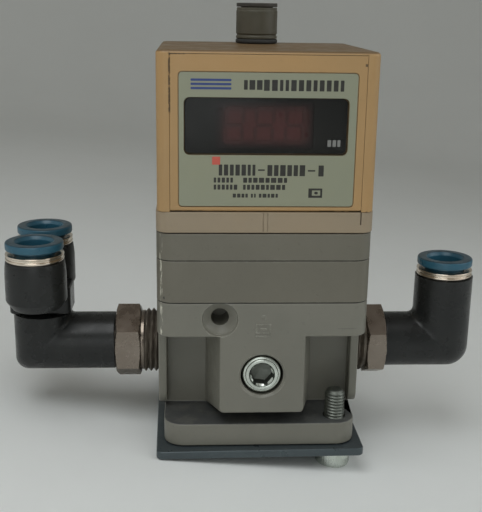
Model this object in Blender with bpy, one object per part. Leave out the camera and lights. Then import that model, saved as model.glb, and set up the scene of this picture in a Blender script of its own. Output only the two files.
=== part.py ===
"""Electro-pneumatic pressure regulator with two swivelling push-in elbows.

All sizes below are in millimetres and become metres when a mesh is made.
X runs from the supply port (-X) to the outlet port (+X), the display looks
along -Y, and +Z is up. The origin is on the underside of the base plate, on
the vertical axis of the valve.
"""

import math

import bmesh
import bpy
from mathutils import Matrix, Vector

MM = 0.001
ROUND_STEPS = 24        # sides of a turned piece
SMALL_STEPS = 12        # sides of a screw hole or a pin
TINY_STEPS = 8          # sides of a contact pin or a pilot hole
MEDIUM_STEPS = 16       # sides of a small turned piece
PAST = 1.0              # a cutter runs this far past the face that it opens

# The exact solver leaves open edges on these pieces, so they use the manifold one.
MANIFOLD_PIECES = ("main_body", "diaphragm_housing", "connector_insert", "left_stud", "left_elbow_body",
                   "right_stud", "right_elbow_body")

# ---- outer block ---------------------------------------------------------
BODY_HALF = 25.0        # half of the 50 mm square of the body
LAYER_RADIUS = 4.0      # upright corner radius of the stacked layers
PLATE_HALF = 25.4
PLATE_TOP = 2.0
PLATE_CORNER = 1.5
PLATE_HOLE = 2.9        # radius of the screw holes in the plate
PLATE_TURN = math.radians(0.9)      # slack of the plate round its one screw
PLATE_CENTRE = (-0.3, -0.5)
FLANGE_HALF = 23.55
FLANGE_RADIUS = 5.0
FLANGE_BOTTOM = 2.2
FLANGE_TOP = 7.95
FLANGE_HOLE = 2.8       # radius of the screw holes in the flange
BLOCK_BOTTOM = 31.0     # underside of the wide upper part of the body
BODY_TOP = 39.1
DIAPHRAGM_Z = (39.2, 39.6)
HOUSING_Z = (39.7, 49.3)
PILOT_GASKET_Z = (49.4, 49.8)
PILOT_BLOCK_Z = (49.9, 56.0)
COVER_BASE_Z = (56.2, 61.1)
COVER_Z = (61.3, 96.8)

# ---- ports and bosses ----------------------------------------------------
PORT_Z = 21.15          # axis of the supply, outlet, exhaust and gauge ports
PORT_BORE = 8.6         # clears the 3/8 stud thread
PORT_DEPTH_X = 12.5     # the port bores stop this far from the valve axis
EXHAUST_BORE = 7.55
EXHAUST_DEPTH_Y = 12.0
GAUGE_BORE = 5.15
GAUGE_DEPTH_Y = 12.5
CORE_HALF_Y = 10.0
BOSS_FRONT_HALF = 10.1
BOSS_ROOT_HALF = 13.4
BOSS_FRONT_BOTTOM = 11.6
PAD_INNER_X = 22.9
PAD_HALF_Y = 14.0
PAD_BOTTOM = 8.8
PAD_CORNER = 3.0
BLEED_PORT = (-10.15, 35.3)         # small M5 port in the front of the body
BLEED_RADIUS = 2.15
BLEED_CONE = (4.05, 2.4)            # mouth radius and depth of its countersink
BLEED_DEPTH_Y = 15.0                # the bleed hole stops this far from the valve axis
PLUG_RADIUS = 4.85
PLUG_Y = (-24.5, -17.0)
PLUG_CHAMFER = (0.4, 0.5)           # across and along the plug's axis
PLUG_SOCKET = (5.0, -20.5)          # width across flats and floor of the hexagon socket

# ---- valve ---------------------------------------------------------------
CHAMBER_RADIUS = 7.5
SEAT_RADIUS = 4.5
SEAT_Z = (20.0, 22.0)
CHAMBER_TOP = 36.2
DIAPHRAGM_BORE = 15.0
LOWER_LINK_Z = 15.6
UPPER_LINK_Z = 26.6
LINK_RADIUS = 2.4
LINK_REACH = (4.0, 14.0)            # a link passage runs from the valve bore to a port bore
LINK_DROP = 2.0                     # the gauge passage lies this much lower than the outlet's
GUIDE_Z = (2.6, 4.0, 9.0)           # underside, floor of the spring recess, and top
GUIDE_RADII = (2.0, 3.0, 7.2)       # stem hole, recess and outside
POPPET_RADIUS = 5.6
POPPET_Z = (5.6, 17.6)              # end of the stem and underside of the head
POPPET_GAP = 0.3                    # between the closed poppet and its seat
STEM_RADIUS = 1.6
ROD_RADIUS = 1.3
ROD_CAP_RADIUS = 4.0
ROD_CAP_Z = (37.3, 38.5)
PISTON_RADIUS = 13.0                # plate at the middle of the diaphragm
PISTON_HUB_RADIUS = 4.0
PISTON_Z = (38.8, 41.9, 43.0)       # underside, top of the plate and top of the hub
DIAPHRAGM_GAP = 0.4
SPRING_TURNS = 5
SPRING_RADIUS = 4.4
SPRING_WIRE = 0.4                   # radius of the wire
SPRING_GAP = 0.15

# ---- fasteners -----------------------------------------------------------
FLANGE_HOLE_XY = 18.75  # flange holes are on a 37.5 mm square
PLATE_SCREW_RADII = (2.0, 2.5)      # at the tip and along the thread
PLATE_SCREW_TIP = (14.2, 15.0)      # heights where the tip's chamfer starts and ends
SCREW_HEAD_RADII = (3.95, 4.25)     # at the chamfered end and along the side
SCREW_HEAD_Z = (-5.0, -4.7, -0.15)  # end, chamfer and seat of the head
SCREW_SOCKET = (4.0, -2.5)          # width across flats and floor of the hexagon socket
TIE_POSITION = 18.5
TIE_HOLE = 1.85
TIE_HOLE_FLOOR = 33.0
TIE_SCREW_RADII = (1.5, 2.75)       # shank and head
TIE_SCREW_Z = (34.0, 56.3, 59.3)    # tip, seat and top of the head

# ---- pilot valves and sensor ---------------------------------------------
HOUSING_BORE_TOP = 45.7
PILOT_PASSAGE = 1.5
GASKET_PASSAGE = 4.0
PILOT_HOLE = 0.8
SOLENOID_XY = (9.5, 2.0)
SOLENOID_RADIUS = 5.5
SOLENOID_Z = (56.3, 80.0)
ARMATURE_BORE = (2.4, 71.0)         # radius and top of the hole in the solenoid
ARMATURE_RADIUS = 2.05
ARMATURE_Z = (56.8, 70.0)
SENSOR = ((-5.0, 5.0), (9.0, 19.0), (56.3, 60.3))
SENSOR_NOSE_RADIUS = 3.4
SENSOR_NOSE_TOP = 64.5

# ---- cover, flap and display ---------------------------------------------
COVER_HALF = 24.7
COVER_FRONT = -25.0
COVER_WALL = 2.0
COVER_CORNER = 2.0
BASE_WALL = 2.5
BASE_CORNER = 3.0
RECESS_HALF = 21.75     # recess that the flap closes
RECESS_TOP = 96.1
FASCIA_Y = (-22.5, -21.1)
FLAP_HALF = 21.55
FLAP_Y = (-25.0, -23.0)
FLAP_TOP = 95.9
FLAP_AXIS = (0.0, -24.0, 62.3)
FLAP_PIN = (0.5, 1.2)   # radius, and reach past the recess on each side
FLAP_PIN_HOLE = (0.8, 1.5)
LABEL_SEAT_DEPTH = 0.35
LABEL_DEPTH = (0.05, 0.25)          # front and back of the label behind the flap's face
LABEL_X = (-19.7, 19.7)
LABEL_Z = (62.5, 92.2)
LABEL_RADIUS = 1.5
WINDOW_X = (-18.6, 18.0)
WINDOW_Z = (74.1, 86.8)
WINDOW_RADIUS = 1.3
FIT_GAP = 0.2
LED_HALF_X = 12.5
LED_Y = (-22.8, -19.7)
LED_Z = (75.0, 86.0)
LED_HOLE_GAP = 0.4
DISPLAY_BOARD = ((-19.5, 19.5), (-19.4, -17.8), (64.0, 91.0))
BOARD_HEADER = ((-8.0, 8.0), (-17.5, -16.5), (84.0, 87.0))
CONTROL_BOARD = ((-20.0, 20.0), (-16.2, -14.6), (62.5, 92.0))
KEY_Y = (-22.8, -20.8, -20.2)       # front, and the two faces of the flange that holds the key
KEY_Z = 69.0
KEY_PITCH = 10.0
KEY_RADIUS = 2.0
KEY_FLANGE_RADIUS = 2.8
KEY_HOLE_GAP = 0.3
KEY_NAMES = ("down_key", "set_key", "up_key")

# ---- electrical connector ------------------------------------------------
CONNECTOR_XY = (0.0, 15.9)
CONNECTOR_RADIUS = 5.3
CONNECTOR_BORE = 4.3
CONNECTOR_Z = (90.5, 98.1, 105.8)   # end of the stem, shoulder and rim of the shell
CONNECTOR_STEM = 4.4
STEM_BORE = 3.4
CONNECTOR_FLOOR = 96.6              # the insert rests on this step in the shell
SEAL_Z = (96.9, 98.0)
SEAL_RADIUS = 5.4
INSERT_RADII = (3.5, 4.1, 5.25)     # socket, body and rim
INSERT_Z = (96.8, 98.6, 105.95, 106.9)
PIN_CIRCLE = 1.9
PIN_HOLE = 0.65
PIN_RADII = (0.3, 0.45)
PIN_Z = (92.0, 101.6, 102.0)
NUT_FLATS = 13.0
NUT_Z = (92.0, 94.5)

# ---- push-in fittings ----------------------------------------------------
TUBE_RADIUS = 4.2       # passage in the collet for an 8 mm tube
COLLET_RADIUS = 7.05
COLLET_SLEEVE = 4.95
COLLET_DEPTHS = (0.4, 0.5, 2.0, 9.0)        # chamfers, head and end, down from the top face
RING_RADII = (5.25, 5.9, 7.15)              # bore, sleeve and visible band
RING_DEPTHS = (2.9, 4.7, 8.0)               # top, underside of the band and end
BARREL_RADIUS = 7.5
BARREL_DROP = 4.9                           # a barrel ends this far below its collet's top
BARREL_TAPER = (0.3, 3.0, 2.4, 1.7)         # draft and its height, chamfer height and width
BORE_RADII = (6.2, 5.3, 4.4)                # ring, collet and tube
BORE_DEPTHS = (8.3, 10.2)                   # steps between them, down from the collet's top
THREAD_RADIUS = 8.3
HEX_FLATS = 17.0
STUD_TIP = 14.0
STUD_BORE = 2.8
SPIGOT_RADIUS = 4.6
SWIVEL_BORE = 4.95
GROOVE_FLOOR = 3.75
GROOVE_REACH = (3.4, 1.6)                   # the seal's groove, back from the end of the spigot
SEAL_RADII = (3.9, 4.8)
SEAL_SIDE_GAP = 0.2
ELBOW_GAP = 0.3                             # between an elbow and the hexagon beside it
ELBOW_SLICES = 13
ELBOW_EDGE = 84         # degrees from the middle of the arm to its outermost slice

LEFT_AXIS_X = -55.2
LEFT_BARREL_Y = 8.45
LEFT_BARREL_FLOOR = 33.0
LEFT_COLLET_TOP = 50.2
LEFT_TUBE_FLOOR = 36.4
LEFT_HEX_X = (-36.2, -29.8)
LEFT_HEX_TURN = math.radians(-1.2)
LEFT_SPIGOT_END = -49.0
LEFT_ARM_RADIUS = 7.4
LEFT_CORNER = (3.0, 0.8)                    # outer bend and inner fillet
LEFT_ELBOW_TOP = 28.9
LEFT_BORE_END = -56.5
RISER_RADIUS = 3.6
WEB_HALF = (7.7, 5.0)
WEB_Z = (29.8, 36.7)
BRANCH_SPIGOT = (3.3, 23.0)                 # radius and lower end
BRANCH_BORE = (2.2, 35.0)
BRANCH_INLET = (2.4, 34.0, 38.0)            # radius and ends of the passage up to each tube
BRANCH_INLET_SHIFT = 1.6
CROSS_BORE = (1.6, 8.0)                     # radius and reach of the passage between the two

RIGHT_AXIS_X = 49.45
RIGHT_COLLET_TOP = 43.8
RIGHT_TUBE_FLOOR = 28.5
RIGHT_HEX_X = (28.6, 33.6)
RIGHT_HEX_TURN = math.radians(4.6)
RIGHT_SPIGOT_END = 42.5
RIGHT_ARM_RADIUS = 7.14
RIGHT_CORNER = (6.0, 1.2)
RIGHT_SWIVEL_END = 43.5
RIGHT_BORE = (2.4, 50.5)                    # radius and end of the passage along the arm


# ---- scene helpers -------------------------------------------------------

def clear_scene():
    for existing in list(bpy.data.objects):
        bpy.data.objects.remove(existing, do_unlink=True)


def make_material(name, colour, roughness, metallic=0.0, alpha=1.0):
    material = bpy.data.materials.new(name)
    material.use_nodes = True
    shader = material.node_tree.nodes["Principled BSDF"]
    shader.inputs["Base Color"].default_value = (*colour, 1.0)
    shader.inputs["Roughness"].default_value = roughness
    shader.inputs["Metallic"].default_value = metallic
    shader.inputs["Alpha"].default_value = alpha
    return material


def add_piece(name, shape, material, origin=(0.0, 0.0, 0.0)):
    """Turn a bmesh in millimetres into an object whose origin is given in millimetres."""
    bmesh.ops.translate(shape, verts=shape.verts, vec=-Vector(origin))
    bmesh.ops.scale(shape, verts=shape.verts, vec=(MM, MM, MM))
    bmesh.ops.recalc_face_normals(shape, faces=shape.faces)
    mesh = bpy.data.meshes.new(name)
    shape.to_mesh(mesh)
    shape.free()
    mesh.shade_smooth()
    mesh.set_sharp_from_angle(angle=math.radians(35))
    piece = bpy.data.objects.new(name, mesh)
    piece.location = Vector(origin) * MM
    if material is not None:
        mesh.materials.append(material)
    bpy.context.scene.collection.objects.link(piece)
    return piece


def combine(piece, shape, operation):
    """Add a Boolean to the piece, with the shape as its hidden tool."""
    tool = add_piece(f"{piece.name}_tool_{len(piece.modifiers):02d}", shape, None)
    tool.hide_render = True
    tool.display_type = "WIRE"
    modifier = piece.modifiers.new(tool.name, "BOOLEAN")
    modifier.operation = operation
    modifier.solver = "MANIFOLD" if piece.name in MANIFOLD_PIECES else "EXACT"
    modifier.object = tool


def cut(piece, *shapes):
    for shape in shapes:
        combine(piece, shape, "DIFFERENCE")


def join(piece, *shapes):
    for shape in shapes:
        combine(piece, shape, "UNION")


# ---- shapes --------------------------------------------------------------

def loft(rings):
    """Skin closed rings of equal length and cap the two ends."""
    shape = bmesh.new()
    loops = [[shape.verts.new(point) for point in ring] for ring in rings]
    count = len(loops[0])
    for lower, upper in zip(loops, loops[1:]):
        for i in range(count):
            j = (i + 1) % count
            shape.faces.new((lower[i], lower[j], upper[j], upper[i]))
    shape.faces.new(list(reversed(loops[0])))
    shape.faces.new(loops[-1])
    return shape


def prism(outline, low, high):
    """Extrude an outline of (x, y) points from one height to another."""
    return loft([[(x, y, z) for x, y in outline] for z in (low, high)])


def box(x, y, z):
    return prism([(x[0], y[0]), (x[1], y[0]), (x[1], y[1]), (x[0], y[1])], z[0], z[1])


def rounded_outline(x, y, radius, steps=5):
    """Outline of a rectangle with round corners."""
    corners = [(x[1] - radius, y[1] - radius, 0), (x[0] + radius, y[1] - radius, 90),
               (x[0] + radius, y[0] + radius, 180), (x[1] - radius, y[0] + radius, 270)]
    outline = []
    for centre_x, centre_y, start in corners:
        for step in range(steps + 1):
            angle = math.radians(start + 90 * step / steps)
            outline.append((centre_x + radius * math.cos(angle),
                            centre_y + radius * math.sin(angle)))
    return outline


def square_outline(half, radius):
    return rounded_outline((-half, half), (-half, half), radius)


def circle_outline(radius, steps=ROUND_STEPS, centre=(0.0, 0.0), start=0.0):
    angles = [start + 2 * math.pi * step / steps for step in range(steps)]
    return [(centre[0] + radius * math.cos(a), centre[1] + radius * math.sin(a)) for a in angles]


def turned(profile, steps=ROUND_STEPS):
    """Revolve a closed profile of (radius, height) points round Z."""
    shape = bmesh.new()
    rings = []
    for radius, height in profile:
        if radius == 0:
            rings.append([shape.verts.new((0, 0, height))] * steps)
        else:
            ring = circle_outline(radius, steps)
            rings.append([shape.verts.new((x, y, height)) for x, y in ring])
    for first, second in zip(rings, rings[1:] + rings[:1]):
        for i in range(steps):
            j = (i + 1) % steps
            corners = []
            for vertex in (first[i], first[j], second[j], second[i]):
                if vertex not in corners:
                    corners.append(vertex)
            if len(corners) > 2:
                shape.faces.new(corners)
    return shape


def rod(radius, low, high, steps=ROUND_STEPS):
    return turned([(0, high), (radius, high), (radius, low), (0, low)], steps)


def tube(outer, inner, low, high, steps=ROUND_STEPS):
    return turned([(inner, high), (outer, high), (outer, low), (inner, low)], steps)


def along_x(shape, y=0.0, z=PORT_Z):
    """Lay a shape made round Z along X, so that its height becomes its x."""
    turn = Matrix(((0, 0, 1, 0), (0, 1, 0, y), (-1, 0, 0, z), (0, 0, 0, 1)))
    bmesh.ops.transform(shape, matrix=turn, verts=shape.verts)
    return shape


def along_y(shape, x=0.0, z=PORT_Z):
    """Lay a shape made round Z along Y, so that its height becomes its y."""
    turn = Matrix(((1, 0, 0, x), (0, 0, 1, 0), (0, -1, 0, z), (0, 0, 0, 1)))
    bmesh.ops.transform(shape, matrix=turn, verts=shape.verts)
    return shape


def moved(shape, x=0.0, y=0.0, z=0.0):
    bmesh.ops.translate(shape, verts=shape.verts, vec=(x, y, z))
    return shape


def hexagon(flats, low, high, start=0.0):
    return prism(circle_outline(flats / math.sqrt(3), 6, start=start), low, high)


def panel(x, z, y, radius):
    """A round-cornered plate that lies in the XZ plane."""
    outline = rounded_outline(x, z, radius, steps=4)
    return loft([[(px, depth, pz) for px, pz in outline] for depth in y])


def elbow(axis_x, end_x, top_z, arm_radius, barrel_radius, corner, fillet):
    """A round arm along X that turns up into a round barrel, built in slices across Y."""
    side = 1 if end_x > axis_x else -1
    slices = []
    for step in range(ELBOW_SLICES):
        angle = math.radians(ELBOW_EDGE * (2 * step / (ELBOW_SLICES - 1) - 1))
        arm = arm_radius * math.cos(angle)
        barrel = barrel_radius * math.cos(angle)
        arm_y = arm_radius * math.sin(angle)
        barrel_y = barrel_radius * math.sin(angle)
        bend = min(corner, 0.8 * arm)
        blend = min(fillet, 0.8 * arm)
        outline = [(side * (end_x - axis_x), arm_y, -arm)]
        for turn in range(5):
            swing = math.radians(22.5 * turn)
            outline.append((-barrel + bend - bend * math.sin(swing), arm_y + (barrel_y - arm_y) * turn / 4,
                            -arm + bend - bend * math.cos(swing)))
        outline.append((-barrel, barrel_y, top_z - PORT_Z))
        outline.append((barrel, barrel_y, top_z - PORT_Z))
        outline.append((barrel, barrel_y, arm + blend))
        outline.append((barrel + blend, arm_y, arm))
        outline.append((side * (end_x - axis_x), arm_y, arm))
        slices.append([(axis_x + side * px, py, PORT_Z + pz) for px, py, pz in outline])
    return loft(slices)


# ---- materials -----------------------------------------------------------

def make_materials():
    return {
        "cast": make_material("painted_casting", (0.56, 0.55, 0.50), 0.45),
        "grey": make_material("grey_casting", (0.56, 0.55, 0.51), 0.45),
        "beige": make_material("beige_plastic", (0.66, 0.58, 0.42), 0.45),
        "base": make_material("grey_beige_plastic", (0.60, 0.56, 0.46), 0.45),
        "label": make_material("label_film", (0.62, 0.64, 0.56), 0.5),
        "smoked": make_material("smoked_window", (0.02, 0.01, 0.01), 0.15, alpha=0.6),
        "dark": make_material("black_plastic", (0.03, 0.03, 0.032), 0.4),
        "blue": make_material("blue_plastic", (0.03, 0.16, 0.28), 0.35),
        "brass": make_material("plated_brass", (0.62, 0.52, 0.40), 0.25, 1.0),
        "steel": make_material("zinc_steel", (0.60, 0.60, 0.60), 0.3, 1.0),
        "plate": make_material("blackened_steel", (0.05, 0.06, 0.08), 0.45, 0.6),
        "rubber": make_material("black_rubber", (0.02, 0.02, 0.02), 0.8),
        "board": make_material("circuit_board", (0.02, 0.20, 0.10), 0.5),
        "key": make_material("grey_key", (0.35, 0.35, 0.35), 0.5),
        "coil": make_material("solenoid_case", (0.25, 0.25, 0.27), 0.4),
        "olive": make_material("olive_connector", (0.28, 0.26, 0.18), 0.5),
    }


# ---- base plate and body -------------------------------------------------

def make_base_plate(looks):
    plate = add_piece("base_plate", prism(square_outline(PLATE_HALF, PLATE_CORNER), 0.0, PLATE_TOP),
                      looks["plate"])
    for sign in (1, -1):
        hole = rod(PLATE_HOLE, -PAST, PLATE_TOP + PAST, SMALL_STEPS)
        hole_x = sign * FLANGE_HOLE_XY - PLATE_CENTRE[0]
        hole_y = -sign * FLANGE_HOLE_XY - PLATE_CENTRE[1]
        cut(plate, moved(hole, hole_x, hole_y))
    centre = Matrix.Translation(Vector((*PLATE_CENTRE, 0.0)) * MM)
    plate.matrix_world = centre @ Matrix.Rotation(PLATE_TURN, 4, "Z")
    for modifier in plate.modifiers:
        modifier.object.matrix_world = centre


def make_plate_screw(looks):
    tip_radius, thread_radius = PLATE_SCREW_RADII
    end_radius, head_radius = SCREW_HEAD_RADII
    chamfer_start, tip = PLATE_SCREW_TIP
    head_end, head_chamfer, seat = SCREW_HEAD_Z
    profile = [(0, tip), (tip_radius, tip), (thread_radius, chamfer_start), (thread_radius, seat),
               (head_radius, seat), (head_radius, head_chamfer), (end_radius, head_end), (0, head_end)]
    shape = moved(turned(profile, 20), FLANGE_HOLE_XY, -FLANGE_HOLE_XY)
    screw = add_piece("plate_screw", shape, looks["steel"])
    flats, floor = SCREW_SOCKET
    cut(screw, moved(hexagon(flats, head_end - PAST, floor), FLANGE_HOLE_XY, -FLANGE_HOLE_XY))


def port_boss(side):
    """Boss that widens and drops towards the core; side is -1 for the front."""
    front_y = side * BODY_HALF
    root_y = side * (CORE_HALF_Y - PAST)
    rings = []
    for half, y, bottom in ((BOSS_FRONT_HALF, front_y, BOSS_FRONT_BOTTOM),
                            (BOSS_ROOT_HALF, root_y, FLANGE_TOP - 0.5)):
        top = BLOCK_BOTTOM + 2.0
        rings.append([(-half, y, bottom), (half, y, bottom), (half, y, top), (-half, y, top)])
    return loft(rings)


def port_pad(side):
    """Upright pad round the supply or the outlet port."""
    outline = rounded_outline((-PAD_HALF_Y, PAD_HALF_Y), (PAD_BOTTOM, BLOCK_BOTTOM + 5.0), PAD_CORNER, 3)
    return loft([[(x, y, z) for y, z in outline] for x in (side * PAD_INNER_X, side * BODY_HALF)])


def make_main_body(looks):
    outline = square_outline(BODY_HALF, LAYER_RADIUS)
    body = add_piece("main_body", prism(outline, BLOCK_BOTTOM, BODY_TOP), looks["cast"])
    core_half = PAD_INNER_X + 0.5
    core = box((-core_half, core_half), (-CORE_HALF_Y, CORE_HALF_Y), (FLANGE_TOP - PAST, BLOCK_BOTTOM + PAST))
    flange = prism(square_outline(FLANGE_HALF, FLANGE_RADIUS), FLANGE_BOTTOM, FLANGE_TOP)
    join(body, core, flange, port_boss(-1), port_boss(1), port_pad(-1), port_pad(1))
    cut_ports(body)
    cut_valve_bore(body)
    for sign in (1, -1):
        hole = rod(FLANGE_HOLE, 0.0, FLANGE_TOP + PAST, SMALL_STEPS)
        cut(body, moved(hole, sign * FLANGE_HOLE_XY, -sign * FLANGE_HOLE_XY))
    cut_tie_holes(body, TIE_HOLE_FLOOR, BODY_TOP + PAST)


def cut_ports(body):
    mouth = BODY_HALF + PAST
    for side in (-1, 1):
        ends = sorted((side * PORT_DEPTH_X, side * mouth))
        cut(body, along_x(rod(PORT_BORE, *ends)))
    cut(body, along_y(rod(EXHAUST_BORE, EXHAUST_DEPTH_Y, mouth)),
        along_y(rod(GAUGE_BORE, -mouth, -GAUGE_DEPTH_Y)))
    cone_radius, cone_depth = BLEED_CONE
    slope = (cone_radius - BLEED_RADIUS) / cone_depth
    bleed = turned([(0, -BLEED_DEPTH_Y), (BLEED_RADIUS, -BLEED_DEPTH_Y),
                    (BLEED_RADIUS, -BODY_HALF + cone_depth), (cone_radius + slope * PAST, -mouth),
                    (0, -mouth)], 20)
    cut(body, along_y(bleed, *BLEED_PORT))


def cut_valve_bore(body):
    """Stepped bore with the supply seat, and the passages from it to the four ports."""
    top = BODY_TOP + PAST
    cut(body, turned([(0, top), (DIAPHRAGM_BORE, top), (DIAPHRAGM_BORE, CHAMBER_TOP),
                      (CHAMBER_RADIUS, CHAMBER_TOP), (CHAMBER_RADIUS, SEAT_Z[1]), (SEAT_RADIUS, SEAT_Z[1]),
                      (SEAT_RADIUS, SEAT_Z[0]), (CHAMBER_RADIUS, SEAT_Z[0]), (CHAMBER_RADIUS, 0.0),
                      (0, 0.0)]))
    near, far = LINK_REACH
    cut(body, along_x(rod(LINK_RADIUS, -far, -near, SMALL_STEPS), z=LOWER_LINK_Z),
        along_x(rod(LINK_RADIUS, near, far, SMALL_STEPS), z=UPPER_LINK_Z),
        along_y(rod(LINK_RADIUS, near, far, SMALL_STEPS), z=UPPER_LINK_Z),
        along_y(rod(LINK_RADIUS, -far, -near, SMALL_STEPS), z=UPPER_LINK_Z - LINK_DROP))


def tie_corners():
    return [(x * TIE_POSITION, y * TIE_POSITION) for x in (-1, 1) for y in (-1, 1)]


def cut_tie_holes(piece, low, high):
    for x, y in tie_corners():
        cut(piece, moved(rod(TIE_HOLE, low, high, SMALL_STEPS), x, y))


def make_gauge_plug(looks):
    front, back = PLUG_Y
    across, along = PLUG_CHAMFER
    profile = [(0, back), (PLUG_RADIUS, back), (PLUG_RADIUS, front + along), (PLUG_RADIUS - across, front),
               (0, front)]
    plug = add_piece("gauge_plug", along_y(turned(profile)), looks["steel"])
    flats, floor = PLUG_SOCKET
    cut(plug, along_y(hexagon(flats, front - PAST / 2, floor)))


# ---- valve train ---------------------------------------------------------

def make_valve(looks):
    """Every moving piece of the valve has its origin at the seat, on the valve's axis."""
    seat = SEAT_Z[0]
    pivot = (0.0, 0.0, seat)
    hole, recess, outside = GUIDE_RADII
    bottom, floor, top = GUIDE_Z
    guide = [(recess, top), (outside, top), (outside, bottom), (hole, bottom), (hole, floor), (recess, floor)]
    add_piece("valve_guide", turned(guide), looks["brass"])

    head_top = seat - POPPET_GAP
    stem_end, head_bottom = POPPET_Z
    poppet = [(0, head_top), (POPPET_RADIUS, head_top), (POPPET_RADIUS, head_bottom),
              (STEM_RADIUS, head_bottom), (STEM_RADIUS, stem_end), (0, stem_end)]
    add_piece("supply_poppet", turned(poppet, 20), looks["brass"], pivot)

    cap_bottom, cap_top = ROD_CAP_Z
    push_rod = [(0, cap_top), (ROD_CAP_RADIUS, cap_top), (ROD_CAP_RADIUS, cap_bottom),
                (ROD_RADIUS, cap_bottom), (ROD_RADIUS, seat), (0, seat)]
    add_piece("valve_rod", turned(push_rod, MEDIUM_STEPS), looks["steel"], pivot)

    bottom, plate_top, hub_top = PISTON_Z
    piston = [(0, hub_top), (PISTON_HUB_RADIUS, hub_top), (PISTON_HUB_RADIUS, plate_top),
              (PISTON_RADIUS, plate_top), (PISTON_RADIUS, bottom), (0, bottom)]
    add_piece("diaphragm_plate", turned(piston), looks["steel"], pivot)
    make_poppet_spring(looks)


def make_poppet_spring(looks):
    """Helix of round wire between the guide and the poppet's head."""
    low = GUIDE_Z[2] + SPRING_WIRE + SPRING_GAP
    high = POPPET_Z[1] - SPRING_WIRE - SPRING_GAP
    stations = SPRING_TURNS * SMALL_STEPS
    sides = 6
    rings = []
    for step in range(stations + 1):
        share = step / stations
        angle = 2 * math.pi * SPRING_TURNS * share
        outward = Vector((math.cos(angle), math.sin(angle), 0))
        centre = SPRING_RADIUS * outward + Vector((0, 0, low + (high - low) * share))
        ring = []
        for side in range(sides):
            swing = 2 * math.pi * side / sides
            away = outward * math.cos(swing) + Vector((0, 0, 1)) * math.sin(swing)
            ring.append(centre + SPRING_WIRE * away)
        rings.append(ring)
    add_piece("poppet_spring", loft(rings), looks["steel"])


# ---- stacked layers ------------------------------------------------------

def make_layers(looks):
    outline = square_outline(BODY_HALF, LAYER_RADIUS)
    diaphragm = add_piece("diaphragm", prism(outline, *DIAPHRAGM_Z), looks["rubber"])
    low, high = DIAPHRAGM_Z[0] - 0.2, DIAPHRAGM_Z[1] + 0.4
    cut(diaphragm, rod(PISTON_RADIUS + DIAPHRAGM_GAP, low, high))
    cut_tie_holes(diaphragm, low, high)

    housing = add_piece("diaphragm_housing", prism(outline, *HOUSING_Z), looks["grey"])
    low, high = HOUSING_Z[0] - 0.7, HOUSING_Z[1] + 0.7
    cut(housing, rod(DIAPHRAGM_BORE, low, HOUSING_BORE_TOP),
        rod(PILOT_PASSAGE, HOUSING_BORE_TOP - 0.7, high, SMALL_STEPS))
    cut_tie_holes(housing, low, high)

    gasket = add_piece("pilot_gasket", prism(outline, *PILOT_GASKET_Z), looks["rubber"])
    low, high = PILOT_GASKET_Z[0] - 0.4, PILOT_GASKET_Z[1] + 0.2
    cut(gasket, rod(GASKET_PASSAGE, low, high, SMALL_STEPS))
    cut_tie_holes(gasket, low, high)

    pilot = add_piece("pilot_block", prism(outline, *PILOT_BLOCK_Z), looks["grey"])
    low, high = PILOT_BLOCK_Z[0] - 0.9, PILOT_BLOCK_Z[1] + 1.0
    for side in (-1, 1):
        cut(pilot, moved(rod(PILOT_HOLE, low, high, TINY_STEPS), side * SOLENOID_XY[0], SOLENOID_XY[1]))
    cut_tie_holes(pilot, low, high)

    shank, head = TIE_SCREW_RADII
    tip, seat, top = TIE_SCREW_Z
    for number, (x, y) in enumerate(tie_corners(), start=1):
        profile = [(0, top), (head, top), (head, seat), (shank, seat), (shank, tip), (0, tip)]
        add_piece(f"tie_screw_{number}", moved(turned(profile, SMALL_STEPS), x, y), looks["steel"])


# ---- pilot valves and sensor ---------------------------------------------

def make_pilot_valves(looks):
    bottom, top = SOLENOID_Z
    bore, bore_top = ARMATURE_BORE
    case = [(bore, bottom), (SOLENOID_RADIUS, bottom), (SOLENOID_RADIUS, top), (0, top), (0, bore_top),
            (bore, bore_top)]
    for side, name in ((-1, "supply"), (1, "exhaust")):
        x, y = side * SOLENOID_XY[0], SOLENOID_XY[1]
        add_piece(f"{name}_solenoid", moved(turned(case, MEDIUM_STEPS), x, y), looks["coil"])
        armature = moved(rod(ARMATURE_RADIUS, *ARMATURE_Z, SMALL_STEPS), x, y)
        add_piece(f"{name}_armature", armature, looks["steel"], (x, y, ARMATURE_Z[0]))
    sensor = add_piece("pressure_sensor", box(*SENSOR), looks["dark"])
    nose = rod(SENSOR_NOSE_RADIUS, SENSOR[2][1] - PAST - 0.3, SENSOR_NOSE_TOP, MEDIUM_STEPS)
    join(sensor, moved(nose, 0.0, (SENSOR[1][0] + SENSOR[1][1]) / 2))


# ---- cover ---------------------------------------------------------------

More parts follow.
